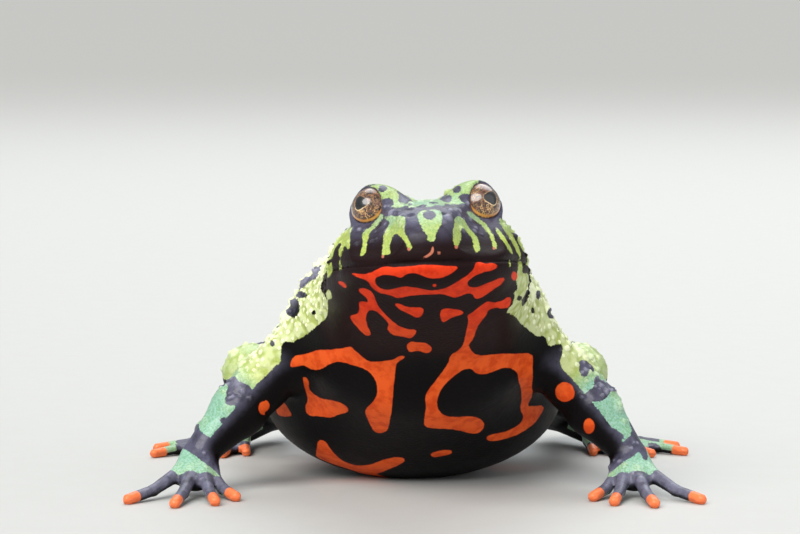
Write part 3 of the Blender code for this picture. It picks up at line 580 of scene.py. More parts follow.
def turn(pitch=0.0, roll=0.0, yaw=0.0):
    about_x = Matrix.Rotation(radians(pitch), 3, "X")
    about_y = Matrix.Rotation(radians(roll), 3, "Y")
    about_z = Matrix.Rotation(radians(yaw), 3, "Z")
    return np.array(about_z @ about_x @ about_y)


HEAD_TURN = turn(pitch=HEAD_PITCH, roll=HEAD_ROLL)


def from_head(point):
    return np.asarray(point, float) @ HEAD_TURN.T + np.asarray(HEAD_AT)


def to_head(points):
    return (points - np.asarray(HEAD_AT)) @ HEAD_TURN


def side_of(name):
    return 1.0 if name == "left" else -1.0


def on_side(place, side):
    """A place on the left, or its mirror image on the right."""
    return np.array([place[0] * side, place[1], place[2]])


def eye_centre(side):
    return from_head(on_side(EYE_AT, side))


def eye_gap(points, side):
    """How far the points are from the middle of an eye."""
    return np.linalg.norm(points - eye_centre(side), axis=1)


def eye_axis(side, out_by, up_by):
    out, up = radians(out_by), radians(up_by)
    return np.array([side * sin(out) * cos(up), -cos(out) * cos(up), sin(up)])


def ellipsoid(points, centre, radii, axes=None):
    local = points - np.asarray(centre, float)
    if axes is not None:
        local = local @ axes
    radii = np.asarray(radii, float)
    outer = np.linalg.norm(local / radii, axis=1)
    slope = np.linalg.norm(local / (radii * radii), axis=1) + 1e-9
    return outer * (outer - 1.0) / slope


def along_bone(points, start, end):
    """How far along a bone each point lies, from 0 to 1."""
    start = np.asarray(start, float)
    along = np.asarray(end, float) - start
    return np.clip((points - start) @ along / (along @ along), 0, 1)


def bone(points, start, end, start_r, end_r):
    share = along_bone(points, start, end)
    start = np.asarray(start, float)
    offset = points - start - share[:, None] * (np.asarray(end, float) - start)
    return np.linalg.norm(offset, axis=1) - (start_r + (end_r - start_r) * share)


def blend(first, second, width):
    near = np.maximum(width - np.abs(first - second), 0.0) / width
    return np.minimum(first, second) - near * near * width * 0.25


def carve(first, second, width):
    return -blend(-first, -second, width)


def chain(points, joints, radii, width):
    shape = None
    for index in range(len(joints) - 1):
        link = bone(points, joints[index], joints[index + 1], radii[index], radii[index + 1])
        shape = link if shape is None else blend(shape, link, width)
    return shape


def web(points, a, b, c):
    """Distance to a flat triangle, for the webs between the toes."""
    a, b, c = (np.asarray(corner, float) for corner in (a, b, c))
    normal = np.cross(b - a, a - c)
    best = None
    signs = 0.0
    for start, end in ((a, b), (b, c), (c, a)):
        edge = end - start
        local = points - start
        signs = signs + np.sign(local @ np.cross(edge, normal))
        share = np.clip(local @ edge / (edge @ edge), 0, 1)
        gap = ((local - share[:, None] * edge) ** 2).sum(axis=1)
        best = gap if best is None else np.minimum(best, gap)
    inside = ((points - a) @ normal) ** 2 / (normal @ normal)
    return np.sqrt(np.where(signs < 2.0, best, inside))


def between(start, end, share):
    return np.asarray(start, float) * (1 - share) + np.asarray(end, float) * share


def fingers(arm):
    wrist = np.asarray(arm["wrist"], float)
    rows = []
    for tip in arm["tips"]:
        end = np.array([wrist[0] + tip[0], wrist[1] + tip[1], DIGIT_REST])
        root = between((wrist[0], wrist[1], 0), end, FINGER_ROOT)
        root[2] = FINGER_ROOT_HEIGHT
        middle = between(root, end, FINGER_MIDDLE)
        middle[2] = FINGER_MIDDLE_HEIGHT
        rows.append([root, middle, end])
    return rows


def palm(arm):
    wrist = np.asarray(arm["wrist"], float)
    aim = np.mean(np.asarray(arm["tips"], float), axis=0)
    aim = aim / np.linalg.norm(aim)
    centre = (wrist[0] + aim[0] * PALM_AHEAD, wrist[1] + aim[1] * PALM_AHEAD, PALM_HEIGHT)
    yaw = degrees(atan2(aim[0], -aim[1]))
    return centre, PALM_RADII, turn(pitch=PALM_PITCH, yaw=yaw)


def toes(leg, side):
    sole = np.asarray(leg["sole"], float)
    aim = radians(leg["aim"])
    across = np.array([-side * sin(aim), cos(aim), 0.0])
    rows = []
    for index, (spread, length) in enumerate(TOES):
        angle = aim + radians(spread)
        heading = np.array([side * cos(angle), sin(angle), 0.0])
        root = sole + across * (TOE_STEP * index - TOE_SPREAD)
        root[2] = TOE_ROOT_HEIGHT
        end = root + heading * length
        middle = root + heading * length * 0.5
        middle[2] = TOE_MIDDLE_HEIGHT
        end[2] = DIGIT_REST
        rows.append([root, middle, end])
    return rows


def web_corners(rows):
    sheets = []
    for first, second in zip(rows[:-1], rows[1:]):
        reach_a = between(first[0], first[2], WEB_REACH)
        reach_b = between(second[0], second[2], WEB_REACH)
        sheets.append((first[0], reach_a, reach_b))
        sheets.append((first[0], reach_b, second[0]))
    return sheets


def arm_bones(arm):
    middle = between(arm["elbow"], arm["wrist"], THICKEST)
    return [
        (arm["shoulder"], arm["elbow"], SHOULDER_R, ELBOW_R),
        (arm["elbow"], middle, ELBOW_R, FOREARM_R),
        (middle, arm["wrist"], FOREARM_R, WRIST_R),
    ]


def leg_bones(leg):
    thigh = between(leg["hip"], leg["knee"], THIGH_MIDDLE)
    calf = between(leg["knee"], leg["ankle"], THICKEST)
    return [
        (leg["hip"], thigh, HIP_R, HIP_R * THIGH_TAPER),
        (thigh, leg["knee"], HIP_R * THIGH_TAPER, KNEE_R),
        (leg["knee"], calf, KNEE_R * KNEE_TAPER, CALF_R),
        (calf, leg["ankle"], CALF_R, ANKLE_R),
        (leg["ankle"], leg["sole"], ANKLE_R * ANKLE_TAPER, SOLE_R),
    ]


def digit_bones(rows, radii):
    found = []
    for root, middle, end in rows:
        found.append((root, middle, radii[0], radii[1]))
        found.append((middle, end, radii[1], radii[2]))
    return found


def arm_shape(points, arm):
    links = [bone(points, *link) for link in arm_bones(arm)]
    limb = blend(links[0], blend(links[1], links[2], FOREARM_BLEND), ELBOW_BLEND)
    centre, radii, axes = palm(arm)
    hand = ellipsoid(points, centre, radii, axes)
    for row in fingers(arm):
        hand = blend(hand, chain(points, row, FINGER_RADII, DIGIT_BLEND), FINGER_BLEND)
    return blend(limb, hand, HAND_BLEND), links[0]


def leg_shape(points, leg, side):
    links = [bone(points, *link) for link in leg_bones(leg)]
    thigh = blend(links[0], links[1], THIGH_BLEND)
    calf = blend(links[2], links[3], CALF_BLEND)
    rows = toes(leg, side)
    foot = links[4]
    for row in rows:
        foot = blend(foot, chain(points, row, TOE_RADII, DIGIT_BLEND), TOE_BLEND)
    for corners in web_corners(rows):
        foot = blend(foot, web(points, *corners) - WEB_HALF, WEB_BLEND)
    return blend(blend(thigh, calf, KNEE_BLEND), foot, FOOT_BLEND), thigh


def limb_near(points, side, reach_y):
    """The points at a limb's side of the body, where its shape is worked out."""
    beside = points[:, 0] * side > LIMB_INNER
    return beside & (points[:, 1] > reach_y[0]) & (points[:, 1] < reach_y[1])


def lids(local, head, side):
    """Lids that wrap the eye, open in an oval that is tilted inward."""
    offset = local - on_side(EYE_AT, side)
    axis = eye_axis(side, LID_OUT, LID_UP)
    along = offset @ axis
    across = offset - along[:, None] * axis
    upright = unit((np.array([0.0, 0.0, 1.0]) - axis * axis[2])[None, :])[0]
    inward = np.cross(upright, axis) * -side
    tilt = radians(LID_TILT)
    height = across @ (upright * cos(tilt) + inward * sin(tilt))
    stretch = np.where(height < 0, LID_LOW, LID_HIGH)
    around = np.sqrt((across**2).sum(axis=1) + height**2 * (stretch**2 - 1))
    reach = np.linalg.norm(offset, axis=1)
    opening = around * cos(radians(LID_ANGLE)) - along * sin(radians(LID_ANGLE))
    return carve(blend(head, reach - LID_OUTER, LID_BLEND), -opening, LID_ROUND)


def trunk_shape(points):
    """Head and body, blended into one mass."""
    local = to_head(points)
    head = None
    for centre, radii, pitch in HEAD_MASSES.values():
        mass = ellipsoid(local, centre, radii, turn(pitch=pitch))
        head = mass if head is None else blend(head, mass, HEAD_BLEND)
    for side in SIDES:
        head = blend(head, ellipsoid(local, on_side(BROW_AT, side), BROW_RADII), BROW_BLEND)
        head = lids(local, head, side)
    body = None
    for centre, radii, pitch in BODY_MASSES.values():
        mass = ellipsoid(points, centre, radii, turn(pitch=-pitch))
        body = mass if body is None else blend(body, mass, BODY_BLEND)
    return blend(head, body, NECK_BLEND)


def flesh(points):
    """Signed distance to the toad's skin, negative inside."""
    whole = trunk_shape(points)
    for name, arm in ARMS.items():
        near = limb_near(points, side_of(name), ARM_Y)
        if near.any():
            limb, upper = arm_shape(points[near], arm)
            whole[near] = np.minimum(blend(whole[near], upper, SHOULDER_BLEND), limb)
    for name, leg in LEGS.items():
        side = side_of(name)
        near = limb_near(points, side, LEG_Y)
        if near.any():
            limb, thigh = leg_shape(points[near], leg, side)
            whole[near] = np.minimum(blend(whole[near], thigh, HIP_BLEND), limb)
    return carve(whole, -points[:, 2], FLOOR_ROUNDING)


def probe_shape(points, shape=flesh, probe=0.02):
    """Distance and slope of a shape at the points, from four probes round each."""
    slope = np.zeros_like(points)
    value = np.zeros(len(points))
    for corner in PROBE_CORNERS:
        offset = np.array(corner) * probe
        found = shape(points + offset)
        slope += found[:, None] * np.array(corner) / (4 * probe)
        value += found / 4
    return value, slope


def unit(vectors):
    return vectors / (np.linalg.norm(vectors, axis=1)[:, None] + 1e-9)


def read_points(piece):
    flat = np.empty(len(piece.data.vertices) * 3)
    piece.data.vertices.foreach_get("co", flat)
    return flat.reshape(-1, 3)


def write_points(piece, points):
    piece.data.vertices.foreach_set("co", points.ravel())
    piece.data.update()


def deselect_all():
    bpy.ops.object.select_all(action="DESELECT")


def select_only(piece):
    deselect_all()
    piece.select_set(True)
    bpy.context.view_layer.objects.active = piece


def apply_modifier(piece, kind, **settings):
    select_only(piece)
    modifier = piece.modifiers.new(kind.lower(), kind)
    for key, value in settings.items():
        setattr(modifier, key, value)
    bpy.ops.object.modifier_apply(modifier=modifier.name)


def add_ball(centre, radii, axes, segments=20, rings=12):
    bpy.ops.mesh.primitive_uv_sphere_add(
        segments=segments,
        ring_count=rings,
        radius=1.0,
        location=tuple(float(value) for value in centre),
        rotation=Matrix(np.asarray(axes).tolist()).to_euler(),
        scale=tuple(float(value) for value in radii),
    )
    return bpy.context.object


def add_bone(start, end, start_r, end_r):
    start, end = Vector(start), Vector(end)
    along = end - start
    bpy.ops.mesh.primitive_cone_add(
        vertices=16,
        radius1=start_r,
        radius2=end_r,
        depth=along.length,
        location=(start + end) / 2,
        rotation=along.to_track_quat("Z", "Y").to_euler(),
    )
    link = bpy.context.object
    ends = ((start, start_r), (end, end_r))
    return [link] + [add_ball(place, (size,) * 3, np.eye(3), 16, 8) for place, size in ends]


def add_web(corners, half):
    """A web as a thin plate with the outline of its triangle."""
    corners = [Vector(corner) for corner in corners]
    middle = sum(corners, Vector()) / 3
    bpy.ops.mesh.primitive_circle_add(vertices=3, radius=1.0, fill_type="NGON", location=middle)
    plate = bpy.context.object
    for vert, corner in zip(plate.data.vertices, corners):
        vert.co = corner - middle
    apply_modifier(plate, "SOLIDIFY", thickness=half * 2, offset=0.0)
    return plate


def fit(piece, steps):
    """Moves the vertices onto the skin, where the distance is zero."""
    points = read_points(piece)
    for _ in range(steps):
        value, slope = probe_shape(points)
        size = (slope * slope).sum(axis=1)
        move = np.clip(value / np.maximum(size, 0.2), -FIT_REACH, FIT_REACH)
        points = points - slope * move[:, None]
    points[points[:, 2] < FLAT_HEIGHT, 2] = 0.0
    write_points(piece, points)


def block_out():
    """Head, body and limbs from balls and cones, joined into one rough body."""
    deselect_all()
    made = []
    for centre, radii, pitch in HEAD_MASSES.values():
        made.append(add_ball(from_head(centre), radii, HEAD_TURN @ turn(pitch=pitch)))
    for side in SIDES:
        made.append(add_ball(from_head(on_side(BROW_AT, side)), BROW_RADII, HEAD_TURN))
        made.append(add_ball(eye_centre(side), (LID_START,) * 3, HEAD_TURN))
    for centre, radii, pitch in BODY_MASSES.values():
        made.append(add_ball(centre, radii, turn(pitch=-pitch), 32, 20))
    for arm in ARMS.values():
        for link in arm_bones(arm) + digit_bones(fingers(arm), FINGER_RADII):
            made.extend(add_bone(*link))
        made.append(add_ball(*palm(arm)))
    for name, leg in LEGS.items():
        rows = toes(leg, side_of(name))
        for link in leg_bones(leg) + digit_bones(rows, TOE_RADII):
            made.extend(add_bone(*link))
        for corners in web_corners(rows):
            made.append(add_web(corners, WEB_HALF))
    deselect_all()
    for piece in made:
        piece.select_set(True)
    body = made[0]
    bpy.context.view_layer.objects.active = body
    bpy.ops.object.join()
    bpy.ops.object.transform_apply(location=True, rotation=True, scale=True)
    body.name = body.data.name = "toad_skin"
    return body


def warty(points, slope):
    """The skin that carries warts: the back, the head's top and the limbs' upper sides."""
    local = to_head(points)
    on_head = (local[:, 1] < 13.0) & (local[:, 2] > -4.0) & (np.abs(local[:, 0]) < 10.0)
    head_up = (local[:, 2] > 1.4) & (local[:, 1] + local[:, 2] > 6.0)
    near_eye = np.zeros(len(points), bool)
    for side in SIDES:
        near_eye |= eye_gap(points, side) < EYE_RADIUS + WART_CLEAR
    up = np.where(on_head, head_up, slope @ np.array(BACK_UP) > WART_UP)
    return up & (points[:, 2] > 1.6) & ~near_eye


def warty_body(points, slope):
    """The warty skin behind the head, which carries the largest warts."""
    return warty(points, slope) & (to_head(points)[:, 1] > 13.5)


def bumpy_face(points, slope):
    """The upper face, whose slate skin is uneven above the smooth lips."""
    local = to_head(points)
    front = (local[:, 2] > 2.6) & (local[:, 1] < 7.6) & (slope[:, 2] < 0.8)
    clear = np.ones(len(points), bool)
    for side in SIDES:
        clear &= eye_gap(points, side) > LID_OUTER + BUMP_CLEAR
    return front & clear


def beaded(points, slope):
    """Neck, shoulders and upper arms, down to where the belly's black begins."""
    local = to_head(points)
    behind = (local[:, 1] > 10.0) & (points[:, 1] < 1.0)
    flank = (np.abs(slope[:, 0]) > 0.25) & (slope @ np.array(BACK_UP) > -0.35)
    return behind & flank & (points[:, 2] > 8.5) & (local[:, 2] < 3.0)


def on_skin(points, steps=10):
    """The places on the skin nearest to the points, and the skin's slope there."""
    for _ in range(steps):
        value, slope = probe_shape(points)
        size = np.maximum((slope * slope).sum(axis=1), 0.2)
        points = points - slope * (np.clip(value, -3, 3) / size)[:, None]
    value, slope = probe_shape(points)
    return points, unit(slope), np.abs(value) < 0.05


def scatter(count, small, large, spacing, seed, keep, tries=14):
    """Places spread unevenly over the skin where keep holds: centre, slope and radius."""
    dice = np.random.RandomState(seed)
    low, high = np.array(WART_BOX[0]), np.array(WART_BOX[1])
    starts = low + dice.random_sample((count * tries, 3)) * (high - low)
    places, slopes, good = on_skin(starts)
    good &= keep(places, slopes)
    found = []
    cells = {}
    for place, up in zip(places[good], slopes[good]):
        radius = small + (large - small) * dice.random_sample() ** 2
        cell = tuple((place // (2.2 * large)).astype(int))
        near = [
            other
            for i in (-1, 0, 1)
            for j in (-1, 0, 1)
            for k in (-1, 0, 1)
            for other in cells.get((cell[0] + i, cell[1] + j, cell[2] + k), ())
        ]
        gaps = (np.linalg.norm(place - other[0]) - spacing * (radius + other[2]) for other in near)
        if all(gap > 0 for gap in gaps):
            found.append((place, up, radius))
            cells.setdefault(cell, []).append(found[-1])
        if len(found) == count:
            break
    return found


def mouth_lift(points, slope):
    """The line of the mouth sunk between full lips, fading out at its corners."""
    local = to_head(points)
    facing = np.clip(1.4 - np.abs(slope @ HEAD_TURN[:, 2]), 0, 1)
    fade = np.clip((MOUTH_END[1] - local[:, 1]) / (MOUTH_END[1] - MOUTH_END[0]), 0, 1)
    level = local[:, 2] + MOUTH_DROP * np.clip(local[:, 1] / MOUTH_END[0], 0, 1) ** 3
    lift = -MOUTH_DEPTH * np.exp(-((level / MOUTH_WIDTH) ** 2))
    for height, width, full in (LIP_UPPER, LIP_LOWER):
        lift += full * np.exp(-(((level - height) / width) ** 2))
    return lift * fade * facing


def point_tree(points):
    tree = KDTree(len(points))
    for index, point in enumerate(points):
        tree.insert(point, index)
    tree.balance()
    return tree


def add_details(skin, warts):
    """Raises the warts and lips, and sinks the line of the mouth and the nostrils."""
    points = read_points(skin)
    slope = unit(probe_shape(points)[1])
    lift = slope * mouth_lift(points, slope)[:, None]
    for side in SIDES:
        place = from_head(on_side(NOSTRIL_AT, side))
        centre, inward, _ = on_skin(place[None, :])
        share = ((points - centre) ** 2).sum(axis=1) / NOSTRIL_R**2
        near = share < 1
        lift[near] -= inward * (NOSTRIL_DEPTH * (1 - share[near]) ** 0.8)[:, None]
    tree = point_tree(points)
    for place, up, radius, rise in warts:
        found = tree.find_range(place, radius)
        if not found:
            continue
        index = np.fromiter((hit[1] for hit in found), int)
        share = np.fromiter((hit[2] for hit in found), float) / radius
        dome = (1 - share**2) ** 2
        lift[index] += np.outer(dome * rise, up)
    write_points(skin, points + lift)


def make_skin():
    skin = block_out()
    apply_modifier(skin, "REMESH", mode="VOXEL", voxel_size=VOXEL * 1.2)
    fit(skin, FIT_STEPS)
    apply_modifier(skin, "REMESH", mode="VOXEL", voxel_size=VOXEL)
    fit(skin, REFIT_STEPS)
    warts = []
    kinds = (
        (LARGE_WARTS, warty_body),
        (WART_SIZES, warty),
        (FACE_BUMPS, bumpy_face),
        (FLANK_BEADS, beaded),
    )
    for sizes, keep in kinds:
        for count, small, large, share, spacing, seed in sizes:
            for place, up, radius in scatter(count, small, large, spacing, seed, keep):
                warts.append((place, up, radius, radius * share))
    add_details(skin, warts)
    return skin, warts


def thin_mesh(skin, marks):
    """Thins the skin's mesh, least near the edges of its marks and on the face."""
    weight = np.zeros(len(skin.data.vertices))
    for name in ("green", "orange", "tip"):
        weight = np.maximum(weight, np.exp(-((marks[name] / KEEP_NEAR) ** 2)))
    weight = np.maximum(weight, 0.6 * marks["face"])
    group = skin.vertex_groups.new(name="keep")
    steps = np.round(weight * 10).astype(int)
    for step in range(1, 11):
        chosen = np.nonzero(steps == step)[0]
        group.add(chosen.tolist(), step / 10, "REPLACE")
    count = sum(len(face.vertices) - 2 for face in skin.data.polygons)
    apply_modifier(
        skin,
        "DECIMATE",
        ratio=min(1.0, SKIN_TRIANGLES / count),
        vertex_group="keep",
        invert_vertex_group=True,
        vertex_group_factor=KEEP_FACTOR,
    )
    skin.vertex_groups.clear()


def photo_places(points):
    """Where each point shows in the photo, in its pixels, and the way from the camera."""
    down = radians(LOOK_DOWN)
    ahead = np.array([0.0, cos(down), -sin(down)])
    above = np.array([0.0, sin(down), cos(down)])
    ray = points - (np.array(LOOK_AT) - ahead * LOOK_FROM)
    depth = ray @ ahead
    focal = LOOK_FROM / PIXEL
    across = PHOTO_WIDE / 2 + focal * ray[:, 0] / depth
    height = PHOTO_HIGH / 2 - focal * (ray @ above) / depth
    return np.stack([across, height], axis=1), unit(ray)


def round_outline(corners):
    """Cuts an outline's corners once, so that its edge runs in a soft line."""
    points = np.array(corners, float)
    after = np.roll(points, -1, axis=0)
    halves = [points * 0.75 + after * 0.25, points * 0.25 + after * 0.75]
    return np.stack(halves, axis=1).reshape(-1, 2)


def outside(points):
    """A depth for each point, as far outside all marks as depths are kept."""
    return np.full(len(points), -MARK_REACH)


def within_limit(depth):
    return np.clip(depth, -MARK_LIMIT, MARK_LIMIT)


def pass_over(values, near, share, others):
    """Lets the values at the near points pass over into others by a share."""
    values[near] = values[near] * (1 - share) + others * share


def outline_depth(places, corners):
    """How deep the places lie inside a closed outline, in millimetres, negative outside."""
    outline = round_outline(corners)
    margin = MARK_REACH / PIXEL
    depth = outside(places)
    inner = (places > outline.min(axis=0) - margin) & (places < outline.max(axis=0) + margin)
    near = inner.all(axis=1)
    spots = places[near]
    best = np.full(len(spots), 1e9)
    inside = np.zeros(len(spots), bool)
    for start, end in zip(outline, np.roll(outline, -1, axis=0)):
        edge = end - start
        offset = spots - start
        share = np.clip(offset @ edge / (edge @ edge), 0, 1)
        best = np.minimum(best, ((offset - share[:, None] * edge) ** 2).sum(axis=1))
        crosses = (start[1] > spots[:, 1]) != (end[1] > spots[:, 1])
        meets = start[0] + offset[:, 1] * edge[0] / (edge[1] if edge[1] else 1e-9)
        inside ^= crosses & (spots[:, 0] < meets)
    depth[near] = np.sqrt(best) * np.where(inside, PIXEL, -PIXEL)
    return depth


def spot_depth(places, centre, radii):
    """How deep the places lie inside a round spot, in millimetres."""
    radii = np.array(radii)
    share = np.linalg.norm((places - np.array(centre)) / radii, axis=1)
    return (1.0 - share) * radii.min() * PIXEL


def deepest(places, marks):
    depth = outside(places)
    for corners in marks.values():
        depth = np.maximum(depth, outline_depth(places, corners))
    return depth


def stir(points):
    """The points drawn to and fro by slow waves, so that a pattern isn't regular."""
    for length, reach in STIR_WAVES:
        points = points + reach * np.sin(np.roll(points, 1, axis=1) * (2 * pi / length) + length)
    return points


def blotches(points, spots, join=0.6):
    """How deep the points lie inside the nearest blotches, which run together."""
    points = stir(points)
    depth = outside(points)
    for place, _, radius in spots:
        gap = radius - np.linalg.norm(points - place, axis=1)
        depth = -blend(-depth, -gap, join)
    return depth


def ramp(value, low, high):
    share = np.clip((value - low) / (high - low), 0, 1)
    return share * share * (3 - 2 * share)


def band_depth(share, bands, length):
    """How deep a share along a limb lies inside one of the bands across it."""
    depth = outside(share)
    for low, high in bands:
        depth = np.maximum(depth, ((high - low) / 2 - np.abs(share - (low + high) / 2)) * length)
    return depth


def digit_tips(points, rows, radii):
    """How far past the start of a digit's tip each point is, and how close to a digit."""
    past = outside(points)
    close = np.full(len(points), 9.0)
    for row in rows:
        gap = chain(points, row, radii, DIGIT_BLEND)
        start, end = np.asarray(row[1]), np.asarray(row[2])
        length = np.linalg.norm(end - start)
        run = (points - start) @ (end - start) / length
        nearer = gap < close
        past[nearer] = (run - length + TIP_LENGTH)[nearer]
        close = np.minimum(close, gap)
    return past, close


def skin_marks(skin, warts):
    """The skin's markings at each of its points, in millimetres or as shares, with shares of
    painted sheen and painted highlight.
    """
    points = read_points(skin)
    slope = unit(probe_shape(points)[1])
    places, ray = photo_places(points)
    lower = np.maximum(places[:, 1] - BELLY_FROM, 0.0)
    places[:, 1] += lower * (BELLY_STRETCH - 1) * (np.abs(points[:, 0]) < 14.0)
    facing = -(slope * ray).sum(axis=1)
    seen = ramp(facing, 0.0, 0.2)
    local = to_head(points)
    trunk = trunk_shape(points)
    upward = slope @ np.array(BACK_UP)
    on_head = ramp(15.0 - local[:, 1], -1.0, 1.0) * ramp(local[:, 2], -9.0, -7.5)

    front = facing > -0.05
    orange_front = outside(points)
    green_front = outside(points)
    orange_front[front] = deepest(places[front], ORANGE_MARKS)
    green_front[front] = deepest(places[front], GREEN_MARKS)
    for centre, radii in ORANGE_SPOTS.values():
        orange_front = np.maximum(orange_front, spot_depth(places, centre, radii))
    for centre, radii in DARK_SPOTS.values():
        green_front = np.minimum(green_front, -spot_depth(places, centre, radii))

    rose = outside(points)
    rose[front] = deepest(places[front], ROSE_MARKS)
    for centre, radii in ROSE_SPOTS.values():
        rose = np.maximum(rose, spot_depth(places, centre, radii))
    rose = np.where(facing > 0.2, rose, -MARK_REACH)

    back_spots = scatter(*BACK_SPOTS, warty)
    belly_spots = scatter(*BELLY_SPOTS, lambda where, up: up @ np.array(BACK_UP) < -0.15)
    back_edge = (upward - 0.02) * 3.0
    green_back = np.minimum(-blotches(points, back_spots), back_edge)
    orange_back = np.minimum(blotches(points, belly_spots, 1.2), -0.6 - back_edge)
    orange_back = np.minimum(orange_back, ORANGE_TOP - points[:, 2])

    green = within_limit(green_back) * (1 - seen)
    green += within_limit(green_front) * seen
    orange = within_limit(orange_back) * (1 - seen)
    orange += within_limit(orange_front) * seen
    # painted sheen: the dark skin turns slate where it faces up and on the upper face, over its
    # own slate tone
    slate_and_sheen = ramp(upward, -0.15, 0.45)
    head_slate_sheen = ramp(local[:, 2], 1.2, 3.8)
    slate_and_sheen = slate_and_sheen * (1 - on_head) + head_slate_sheen * on_head
    face_hue = 0.7 * ramp(local[:, 2], 2.0, 4.4) * ramp(-local[:, 2], -6.6, -5.0)
    face_hue = face_hue + 0.45 * ramp(local[:, 2], 5.6, 6.8)
    hue = face_hue * on_head + 0.35 * (1 - on_head)
    strip = ramp(-points[:, 1], -4.0, 4.0)
    flank = 0.3 + 0.7 * ramp(np.abs(slope[:, 0]), 0.2, 0.6)
    on_face = ramp(10.8 - local[:, 1], -1.0, 1.0) * ramp(local[:, 2], -1.6, -0.6)
    pale = 0.1 + (0.1 + 0.78 * strip * flank) * (1 - on_face)
    tip = outside(points)
    digit_share = np.zeros(len(points))

    for name, arm in ARMS.items():
        side = side_of(name)
        near = limb_near(points, side, ARM_Y)
        spots = points[near]
        limb, _ = arm_shape(spots, arm)
        elbow, wrist = np.array(arm["elbow"]), np.array(arm["wrist"])
        axis = wrist - elbow
        length = np.linalg.norm(axis)
        share = (spots - elbow) @ axis / length**2
        outer = slope[near] @ on_side(ARM_OUTER, side)
        is_arm = ramp(trunk[near] - limb, 0.1, 0.8) * ramp(share, -0.35, -0.05)
        out = np.linalg.norm(spots[:, :2] - wrist[:2], axis=1)
        on_hand = ramp(share, 0.95, 1.05) * ramp(slope[near][:, 2], -0.5, -0.1)
        stirred = share + (stir(spots) - spots) @ axis / length**2
        bands = band_depth(stirred, ARM_BANDS, length)
        arm_green = np.minimum(bands, (outer - 0.12) * 2.4)
        hand_green = np.minimum(HAND_GREEN - out, band_depth(share, ((1.08, 3.0),), length))
        arm_green = np.where(on_hand > 0.5, hand_green, arm_green)
        arm_green = np.minimum(arm_green, -blotches(spots, arm_blotches(arm, side), 0.3))
        arm_orange = outside(spots)
        for centre, radii in ARM_SPOTS[name]:
            arm_orange = np.maximum(arm_orange, spot_depth(places[near], centre, radii))
        arm_orange = np.where(facing[near] > 0.1, arm_orange, -MARK_REACH)
        pass_over(green, near, is_arm, within_limit(arm_green))
        pass_over(orange, near, is_arm, within_limit(arm_orange))
        # painted sheen on the outer side of the forearm and on the hand
        pass_over(slate_and_sheen, near, is_arm, np.maximum(ramp(outer, -0.3, 0.3), on_hand))
        pass_over(hue, near, is_arm, ramp(share, -0.1, 0.35))
        pass_over(pale, near, is_arm, 0.8 * ramp(-share, -0.2, 0.1))
        past, close = digit_tips(spots, fingers(arm), FINGER_RADII)
        tip[near] = np.where(close < 0.3, past, tip[near])
        digit_share[near] = np.maximum(digit_share[near], ramp(-close, -0.5, -0.1) * on_hand)

    for name, leg in LEGS.items():
        side = side_of(name)
        near = limb_near(points, side, LEG_Y)
        spots = points[near]
        limb, _ = leg_shape(spots, leg, side)
        is_leg = ramp(trunk[near] - limb, 0.1, 0.8)
        rows = toes(leg, side)
        past, close = digit_tips(spots, rows, TOE_RADII)
        on_foot = ramp(3.4 - spots[:, 2], -0.4, 0.4)
        top = slope[near][:, 2]
        leg_green = np.minimum(-blotches(spots, leg_bars(leg, side), 0.5), (top + 0.15) * 2.5)
        leg_orange = np.minimum(orange_back[near], -(top + 0.3) * 2.5)
        pass_over(green, near, is_leg, within_limit(leg_green))
        pass_over(orange, near, is_leg, within_limit(leg_orange))
        # painted sheen on the leg's upper side
        pass_over(slate_and_sheen, near, is_leg, ramp(top, -0.3, 0.3))
        pass_over(hue, near, is_leg, 0.45 + 0.4 * on_foot)
        pass_over(pale, near, is_leg, 0.1 + 0.4 * ramp(spots[:, 2], 4.5, 8.0))
        tip[near] = np.where(close < 0.3, past, tip[near])

    for side in SIDES:
        green = np.minimum(green, eye_gap(points, side) - EYE_RADIUS - LID_LINE)

    # painted highlight: a share that is highest at the tops of the warts and bumps
    wart_highlight = np.zeros(len(points))
    tree = point_tree(points)
    for place, up, radius, rise in warts:
        reach = radius * 1.1
        for _, index, gap in tree.find_range(place + up * rise, reach):
            wart_highlight[index] = max(wart_highlight[index], 1.0 - gap / reach)
    # painted sheen along the fingers
    wart_highlight = np.maximum(wart_highlight, HAND_SHEEN * digit_share)
    return {
        "green": green,
        "orange": orange,
        "tip": tip,
        "rose": rose,
        "slate_and_sheen": slate_and_sheen,
        "hue": hue,
        "pale": pale,
        "wart_highlight": wart_highlight,
        "warm": ramp(-points[:, 2], -19.0, -12.0),
        "face": on_head * ramp(facing, -0.2, 0.2),
    }


def keep_attribute(piece, name, values):
    made = piece.data.attributes.new(name, "FLOAT", "POINT")
    made.data.foreach_set("value", np.asarray(values, np.float32))


def arm_blotches(arm, side):
    """Slate blotches round the outside of the forearm."""
    found = []
    axis = unit(np.array([arm["wrist"]]) - np.array([arm["elbow"]]))[0]
    outer = on_side(ARM_OUTER, side)
    outer = unit((outer - axis * (outer @ axis))[None, :])[0]
    beside = np.cross(axis, outer)
    for share, way, radius in ARM_BLOTCHES:
        reach = FOREARM_R + (WRIST_R - FOREARM_R) * np.clip(share, 0, 1)
        place = between(arm["elbow"], arm["wrist"], share)
        found.append((place + (outer * cos(way) + beside * sin(way)) * reach, None, radius))
    return found


